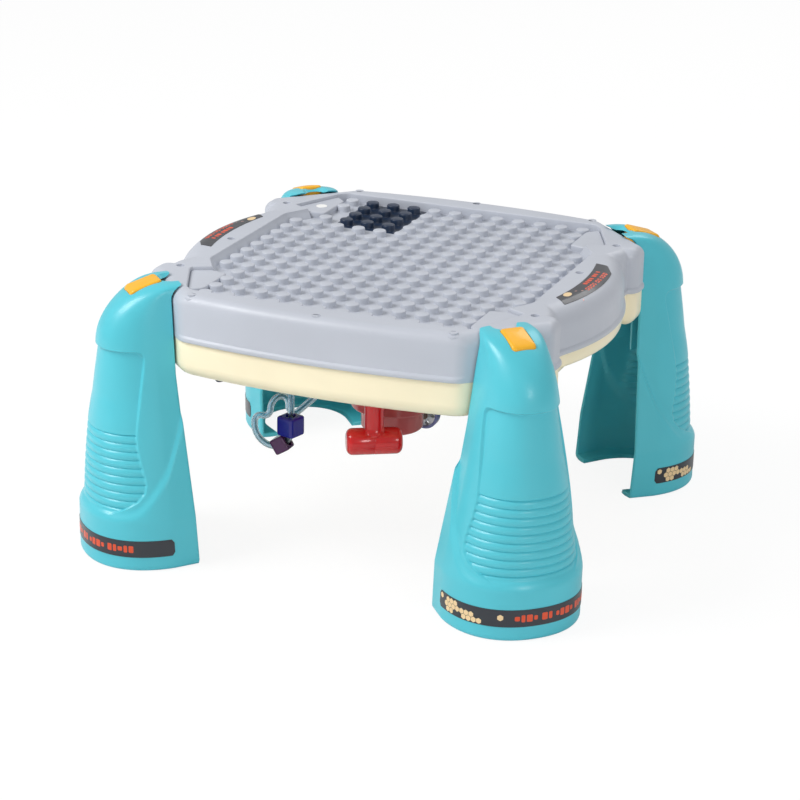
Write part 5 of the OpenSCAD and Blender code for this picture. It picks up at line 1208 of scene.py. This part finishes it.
def bead(shape, size):
    """Bead: a cube with all twelve edges cut by planes at 45 degrees, its edges softened by a norm of power 26 over
    the distances to all eighteen planes, and a round bore."""
    bore, n = TUBE_D / 2 + 1.2, 72
    pairs = ((1, 1), (1, -1))
    normals = np.array([(1, 0, 0), (0, 1, 0), (0, 0, 1)] + [(a, b, 0) for a, b in pairs]
                       + [(a, 0, b) for a, b in pairs] + [(0, a, b) for a, b in pairs], float)
    normals /= np.linalg.norm(normals, axis=1)[:, None]
    reach = np.r_[np.full(3, size / 2), np.full(6, size * BEAD_EDGE / 2)]
    start = math.atan2(bore + 0.5, size / 2)
    theta = np.linspace(start, math.pi - start, 41)
    d = np.stack([level(np.sin(t) * circle(1, n), np.cos(t)) for t in theta])
    body = d * (((np.abs(d @ normals.T) / reach) ** 26).sum(-1) ** (-1 / 26))[..., None]
    top, low = body[0, :, 2].mean() - 0.25, body[-1, :, 2].mean() + 0.25
    upper, lower = rings([(bore, top), (bore + 0.12, top + 0.17)], n), rings([(bore + 0.12, low - 0.17), (bore, low)], n)
    shape.grid(np.concatenate([upper, body, lower]), close_u=True, close_v=True)


class ACTIVITYTABLE_OT_bead_track(bpy.types.Operator):
    """Clear tube of the bead track with its blue and purple beads"""
    bl_idname = "activitytable.bead_track"
    bl_label = "Bead track"

    def execute(self, context):
        s = Shape()
        s.swept(track_path(), TUBE_D / 2, 18, (-unit(50)[1], unit(50)[0], 0), TUBE_D / 2 - 0.8)
        s.piece("clear_track", "table", "bead_track", "clear_tube", smooth=60)
        at = np.array([LOOP_C[0] + LOOP_R, TRACK_Y - BEAD_HANG, LOOP_C[1] + BLUE_UP])
        s = Shape(lambda p: turned(p, BLUE_TURN) + at)
        bead(s, BLUE_BEAD)
        s.piece("large_bead", "blue_bead", "blue_bead", "blue_bead", smooth=22)
        c, si = unit(PURPLE_TURN)
        turn = np.array([[c, 0, -si], [0, 1, 0], [si, 0, c]])
        centre = np.array([LOOP_C[0], TRACK_Y, LOOP_C[1]])
        s = Shape(lambda p: (p + [LOOP_R - BEAD_HANG, 0, 0]) @ turn.T + centre)
        bead(s, PURPLE_BEAD)
        s.piece("small_bead", "purple_bead", "purple_bead", "purple_bead", smooth=22)
        return {"FINISHED"}


# ---- turning toys ----
GRIP_SOFT, DRUM_WALL, GEAR_LOBES, GEAR_SOFT = 4.0, 2.0, 8, 0.8


def groove(r):
    """Profile of a stem's upper end with the snap ring's groove."""
    z, top = RETAINER_Z, RETAINER_Z + RETAINER_T + 3
    return [(r, z), (r - 1.5, z), (r - 1.5, z + RETAINER_T), (r, z + RETAINER_T), (r, top - 0.6), (r - 0.6, top)]


class ACTIVITYTABLE_OT_twist_handle(bpy.types.Operator):
    """Red twist handle: upright stem and rounded grip with a mould seam"""
    bl_idname = "activitytable.twist_handle"
    bl_label = "Twist handle"

    def execute(self, context):
        s = Shape()
        r, reach, end = STEM_D / 2, GRIP_D / 2, GRIP_L / 2
        z = GRIP_Z + reach
        s.lathe([(r - 1, GRIP_Z), (r + 1.6, z - 2.2), (r + 0.7, z - 0.7), (r + 0.2, z + 0.4), (r, z + 1.4)] + groove(r),
                40, HANDLE_AT)
        profile = [(0.01, -end)] + [(reach - d, i - end) for i, d in edge_steps(GRIP_SOFT, 7)]
        profile += [(reach, -0.32), (reach - 0.12, -0.1)]
        s.place = lambda p: turned(p[..., [2, 1, 0]] * [1, 1, -1], HANDLE_TURN) + [*HANDLE_AT, GRIP_Z]
        s.lathe(profile + [(x, -z) for x, z in profile[::-1]], 48)
        s.piece("red_handle", "handle", "twist_handle", "red_handle", smooth=30)
        return {"FINISHED"}


class ACTIVITYTABLE_OT_rattle_drum(bpy.types.Operator):
    """Pink clear rattle drum: a cup with a wide brim and blades on its pin"""
    bl_idname = "activitytable.rattle_drum"
    bl_label = "Rattle drum"

    def execute(self, context):
        s = Shape()
        low, r, wall = UNDER_Z - 2 - DRUM_H, DRUM_D / 2, DRUM_WALL
        b, mid = BRIM_D / 2, CUP_H
        cup = [(0.02, 0), (r - 2.6, 0), (r - 1.0, 0.35), (r - 0.25, 1.1), (r, 2.4), (r, mid - 1.2), (r + 0.4, mid - 0.3),
               (r + 1.2, mid), (b - 2.0, mid), (b - 0.8, mid + 0.4), (b - 0.15, mid + 1.1), (b, mid + 2.0),
               (b, DRUM_H - 5.2), (b - 0.4, DRUM_H - 3.6), (b - 1.4, DRUM_H - 1.8), (b - 2.8, DRUM_H - 0.5),
               (b - 4.4, DRUM_H), (b - 5.8, DRUM_H - 0.2), (b - 6.0, DRUM_H - 0.8), (b - wall - 1.4, DRUM_H - 3.6),
               (b - wall, DRUM_H - 5.6), (b - wall, mid + wall + 0.6), (b - wall - 0.8, mid + wall),
               (r - wall + 0.6, mid + wall), (r - wall, mid + wall - 0.6), (r - wall, wall + 1.2),
               (r - wall - 1.2, wall), (0.02, wall)]
        s.lathe([(x, low + z) for x, z in cup], 72, DRUM_AT)
        s.lathe([(DRUM_PIN, low + 1)] + groove(DRUM_PIN), 28, DRUM_AT)
        for a in range(0, 360, 60):
            s.place = lambda p: turned(p + [*DRUM_AT, 0], a, DRUM_AT)
            s.block((DRUM_PIN - 1, -0.8, low + 1), (r - wall / 2, 0.8, low + DRUM_H - 7), 0.2)
        s.piece("pink_drum", "drum", "rattle_drum", "pink_clear", smooth=40)
        return {"FINISHED"}


def facing(y):
    """Puts points of a wheel's own frame, Z towards the front, in their place, with their zero at y."""
    return lambda p: p[..., [0, 2, 1]] * [1, -1, 1] + [WHEEL_AT[0], y, WHEEL_Z]


class ACTIVITYTABLE_OT_spinner(bpy.types.Operator):
    """Clear spinner wheel with a bluish rim and round windows, on its white post"""
    bl_idname = "activitytable.spinner"
    bl_label = "Spinner"

    def execute(self, context):
        rear, pin, r = WHEEL_AT[1] + WHEEL_T / 2, WHEEL_PIN, WHEEL_D / 2
        s = Shape(facing(rear + 5.2))
        a = np.radians(np.linspace(180, 360, 20))
        up = UNDER_Z - WHEEL_Z + 0.5
        s.prism(np.vstack([5 * np.stack([np.cos(a), np.sin(a)], -1), [[5, up], [-5, up]]]), 0, 4, 0.5)
        s.place, s.paint = facing(rear), 1
        s.lathe([(pin, -3), (pin, WHEEL_T + 0.6), (pin + 1.1, WHEEL_T + 0.6), (pin + 1.2, WHEEL_T + 0.8),
                 (pin + 1.0, WHEEL_T + 1.5), (pin + 0.2, WHEEL_T + 1.7)], 28)
        s.piece("white_post", "table", "spinner_post", "white_plastic", "axle_brown")
        s = Shape(facing(rear))
        holes = [circle(1.5, 16, (WHEEL_D / 4 + 1) * unit(a)) for a in range(0, 360, 72)] + [circle(pin + 0.35, 28)]
        disc = circle(r - 1.6, 56)
        low, high = 1.0, WHEEL_T - 1.0
        s.plate(disc, holes, low, down=True)
        s.plate(disc, holes, high)
        for hole in holes:
            s.wall(hole, low, high)
        s.wall(disc, low, high, flip=True)
        s.bored([(pin + 0.35, 0), (pin + 1.7, 0), (pin + 2, 0.3), (pin + 2, WHEEL_T - 0.3), (pin + 1.7, WHEEL_T),
                 (pin + 0.35, WHEEL_T)], 28)
        s.paint = 1
        s.bored([(r - 2.0, 0.3), (r - 1.7, 0), (r - 0.4, 0), (r, 0.4), (r, WHEEL_T - 0.4), (r - 0.4, WHEEL_T),
                 (r - 1.7, WHEEL_T), (r - 2.0, WHEEL_T - 0.3)], 56)
        s.piece("clear_spinner", "spinner", "spinner_wheel", "clear_wheel", "wheel_rim")
        return {"FINISHED"}


def gear_places():
    """Centres of the three gears: each stands two pitch radii from the one before."""
    first = np.array([-80.8, -99.5])
    second = first + 2 * GEAR_R * unit(74)
    return [first, second, second + 2 * GEAR_R * unit(161)]


class ACTIVITYTABLE_OT_play_gears(bpy.types.Operator):
    """Three dark play gears with eight round lobes and four holes each"""
    bl_idname = "activitytable.play_gears"
    bl_label = "Play gears"

    def execute(self, context):
        at = gear_places()
        phases = [-90.0]
        for a, b in zip(at, at[1:]):
            t = math.degrees(math.atan2(b[1] - a[1], b[0] - a[0]))
            phases.append(t + 180 + 180 / GEAR_LOBES - (phases[-1] - t))
        z0, z1 = UNDER_Z - GEAR_GAP - GEAR_T, UNDER_Z - GEAR_GAP - 0.2
        a = np.radians(np.arange(0, 360, 3))
        for n, (c, phase) in enumerate(zip(at, phases)):
            s = Shape()
            radius = GEAR_R - 0.4 + 2.3 * np.cos(GEAR_LOBES * (a - math.radians(phase)))
            rows = edged_rows(c + radius[:, None] * np.stack([np.cos(a), np.sin(a)], -1), z0, z1, GEAR_SOFT, 3)
            s.grid(rows, close_v=True, flip=True)
            holes = [circle(GEAR_PIN + 0.35, 32, c)] + [circle(2.4, 24, c + 9 * unit(phase + b)) for b in (0, 90, 180, 270)]
            s.plate(rows[0], holes, z0, down=True)
            s.plate(rows[-1], holes, z1)
            for hole in holes:
                s.wall(hole, z0, z1)
            s.piece(f"lobed_gear_{n + 1}", f"gear_{n + 1}", f"play_gear_{n + 1}", "slate_gear")
        s = Shape()
        z, r = z0 - 0.2, GEAR_PIN
        for c in at:
            s.lathe([(0.4, z - 1.8), (r + 1.2, z - 1.75), (r + 1.9, z - 1.2), (r + 2, z - 0.6), (r + 1.8, z), (1.25, z),
                     (1.25, z + 6.5)], 32, c)
        s.piece("amber_gear_caps", "table", "gear_caps", "amber_button")
        return {"FINISHED"}


# ---- keys and hardware ----
class ACTIVITYTABLE_OT_music_keys(bpy.types.Operator):
    """Five coloured music keys with rounded edges, their pivots and plungers"""
    bl_idname = "activitytable.music_keys"
    bl_label = "Music keys"

    def execute(self, context):
        half, reach = KEY_W / 2 - 2, KEY_PITCH / 2
        for k, key in enumerate(["red_handle", "amber_button", "cyan_leg", "blue_bead", "purple_bead"]):
            s = Shape()
            x = (k - 2) * KEY_PITCH
            s.prism(rounded(x, KEY_Y + KEY_L / 2, KEY_W / 2, KEY_L / 2, 1.4), UNDER_Z - KEY_DOWN, UNDER_Z + WALL, 1.3, 4)
            s.block((x - half, KEY_Y - 4, INNER_Z), (x + half, KEY_Y + KEY_L - 1, INNER_Z + 2.4))
            s.block((x - 3, KEY_Y + 6, INNER_Z), (x + 3, KEY_Y + 12, BOARD_Z - 5.3), 0.4)
            s.place = lambda p: p[..., [2, 0, 1]] + [x, *KEY_PIVOT]
            s.lathe([(2.2, -half), (2.2, half)], 20)
            s.lathe([(1.3, 0.6 - reach), (1.5, 0.8 - reach), (1.5, reach - 0.8), (1.3, reach - 0.6)], 20)
            s.piece(f"rounded_key_{k + 1}", f"key_{k + 1}", f"music_key_{k + 1}", key)
        return {"FINISHED"}


class ACTIVITYTABLE_OT_hardware(bpy.types.Operator):
    """Finishes of the solids inside the table and on its underside that are carried over as they are"""
    bl_idname = "activitytable.hardware"
    bl_label = "Hardware"

    def execute(self, context):
        for key, nodes in {"steel": ("handle_retainer", "drum_retainer", "board_screws", "door_screw"),
                           "cream_shell": ("key_bar", "speaker_ring", "battery_box", "battery_door"),
                           "pad_rubber": ("key_pads",), "board_green": ("circuit_board",), "slate_gear": ("speaker",),
                           "label_dark": ("power_switch",), "red_handle": ("switch_knob",),
                           "battery_green": ("batteries",), "contact_metal": ("battery_contacts",)}.items():
            for node in nodes:
                dress(node, key)
        return {"FINISHED"}


# ---- stage ----
LAMPS = [("key_lamp", (-1.1, -0.9, 1.5), (0, 0, 0.1), 0.9, 26.0),
         ("fill_lamp", (1.5, -1.3, 0.8), (0, 0, 0.1), 0.5, 6.0),
         ("rear_lamp", (0.3, 1.6, 1.6), (0, 0, 0.12), 1.0, 8.0)]
# lens in pixels of an 800 pixel wide picture, bearing, height and roll in degrees, and the aim's shift to the right
# and upwards, the distance and the height of the aim in millimetres
LENS_PX, BEARING, HEIGHT, ROLL = 2498.80, -21.877, 20.248, 1.043
AIM_RIGHT, AIM_UP, DISTANCE, AIM_Z = -1.587, -95.281, 1681.29, 181.5


def added(name, data):
    """Object of the given data, linked to the scene."""
    obj = bpy.data.objects.new(name, data)
    bpy.context.scene.collection.objects.link(obj)
    return obj


def pose_matrix(right, up, fwd, at):
    """Matrix of a lamp or camera from its directions and its place."""
    m = np.eye(4)
    m[:3] = np.stack([right, up, -np.asarray(fwd), at], -1)
    return Matrix(m.tolist())


def camera_mix(tree, share, others, seen):
    """Mix of two shaders: camera rays meet the second one by the given share, and all other rays the first."""
    ray = add_node(tree, "LightPath")["Is Camera Ray"]
    part = add_node(tree, "Math", operation="MULTIPLY", in_0=ray, in_1=share)[0]
    return add_node(tree, "MixShader", in_0=part, in_1=others[0], in_2=seen[0])[0]


class ACTIVITYTABLE_OT_stage(bpy.types.Operator):
    """Pale floor, soft lamps, white surroundings and the camera"""
    bl_idname = "activitytable.stage"
    bl_label = "Stage"

    def execute(self, context):
        scene = context.scene
        size = scene.activity_table_sizes.floor_size / 2
        mesh = bpy.data.meshes.new("floor")
        mesh.from_pydata([(-size, -size, 0), (size, -size, 0), (size, size, 0), (-size, size, 0)], [], [(0, 1, 2, 3)])
        floor = added("floor", mesh)
        m = bpy.data.materials.new("floor")
        t = shader_of(m)
        matt = add_node(t, "BsdfDiffuse", Color=(0.86, 0.86, 0.86, 1))
        glow = add_node(t, "Emission", Color=(1, 1, 1, 1), Strength=1.04)
        add_node(t, "OutputMaterial", Surface=camera_mix(t, 0.86, matt, glow))
        mesh.materials.append(m)

        scene.world = bpy.data.worlds.new("surroundings")
        t = shader_of(scene.world)
        soft, white = (add_node(t, "Background", Color=(1, 1, 1, 1), Strength=x) for x in (0.50, 1.0))
        add_node(t, "OutputWorld", Surface=camera_mix(t, 1.0, soft, white))

        for name, at, aim, width, watts in LAMPS:
            data = bpy.data.lights.new(name, "AREA")
            data.size, data.energy = width, watts
            fwd = np.subtract(aim, at) / np.linalg.norm(np.subtract(aim, at))
            right = np.cross(fwd, [0, 0, 1])
            right /= np.linalg.norm(right)
            added(name, data).matrix_world = pose_matrix(right, np.cross(right, fwd), fwd, at)

        camera = bpy.data.cameras.new("camera")
        camera.lens, camera.sensor_width = 36 * LENS_PX / 800, 36.0
        camera.clip_start, camera.clip_end = 0.05, 50
        (ca, sa), (ce, se), (cr, sr) = (unit(x) for x in (BEARING, HEIGHT, ROLL))
        fwd, right = np.array([sa * ce, ca * ce, -se]), np.array([ca, -sa, 0])
        up = np.cross(right, fwd)
        right, up = cr * right + sr * up, cr * up - sr * right
        at = (AIM_RIGHT * right + AIM_UP * up - DISTANCE * fwd + [0, 0, AIM_Z]) * MM
        scene.camera = added("camera", camera)
        scene.camera.matrix_world = pose_matrix(right, up, fwd, at)
        scene.view_settings.view_transform = "Standard"
        return {"FINISHED"}


OPERATORS = (ACTIVITYTABLE_OT_upper_shell, ACTIVITYTABLE_OT_lower_shell, ACTIVITYTABLE_OT_stud_insert,
             ACTIVITYTABLE_OT_legs, ACTIVITYTABLE_OT_release_buttons, ACTIVITYTABLE_OT_foot_labels,
             ACTIVITYTABLE_OT_side_labels, ACTIVITYTABLE_OT_bead_track, ACTIVITYTABLE_OT_twist_handle,
             ACTIVITYTABLE_OT_rattle_drum, ACTIVITYTABLE_OT_spinner, ACTIVITYTABLE_OT_play_gears,
             ACTIVITYTABLE_OT_music_keys, ACTIVITYTABLE_OT_hardware, ACTIVITYTABLE_OT_stage)


class ACTIVITYTABLE_PT_pieces(bpy.types.Panel):
    """Sidebar panel with the pieces, sizes and colours"""
    bl_idname = "ACTIVITYTABLE_PT_pieces"
    bl_label = "Activity table"
    bl_space_type = "VIEW_3D"
    bl_region_type = "UI"
    bl_category = "Activity table"

    def draw(self, context):
        column = self.layout.column()
        for values in (context.scene.activity_table_sizes, context.scene.activity_table_colours):
            for name in values.__annotations__:
                column.prop(values, name)
        for operator in OPERATORS:
            column.operator(operator.bl_idname)


CLASSES = (TableSizes, TableColours) + OPERATORS + (ACTIVITYTABLE_PT_pieces,)


def register():
    for cls in CLASSES:
        bpy.utils.register_class(cls)
    bpy.types.Scene.activity_table_sizes = PointerProperty(type=TableSizes)
    bpy.types.Scene.activity_table_colours = PointerProperty(type=TableColours)


def unregister():
    del bpy.types.Scene.activity_table_colours
    del bpy.types.Scene.activity_table_sizes
    for cls in reversed(CLASSES):
        bpy.utils.unregister_class(cls)


def main():
    register()
    for operator in OPERATORS:
        group, name = operator.bl_idname.split(".")
        getattr(getattr(bpy.ops, group), name)()


if __name__ == "__main__":
    main()
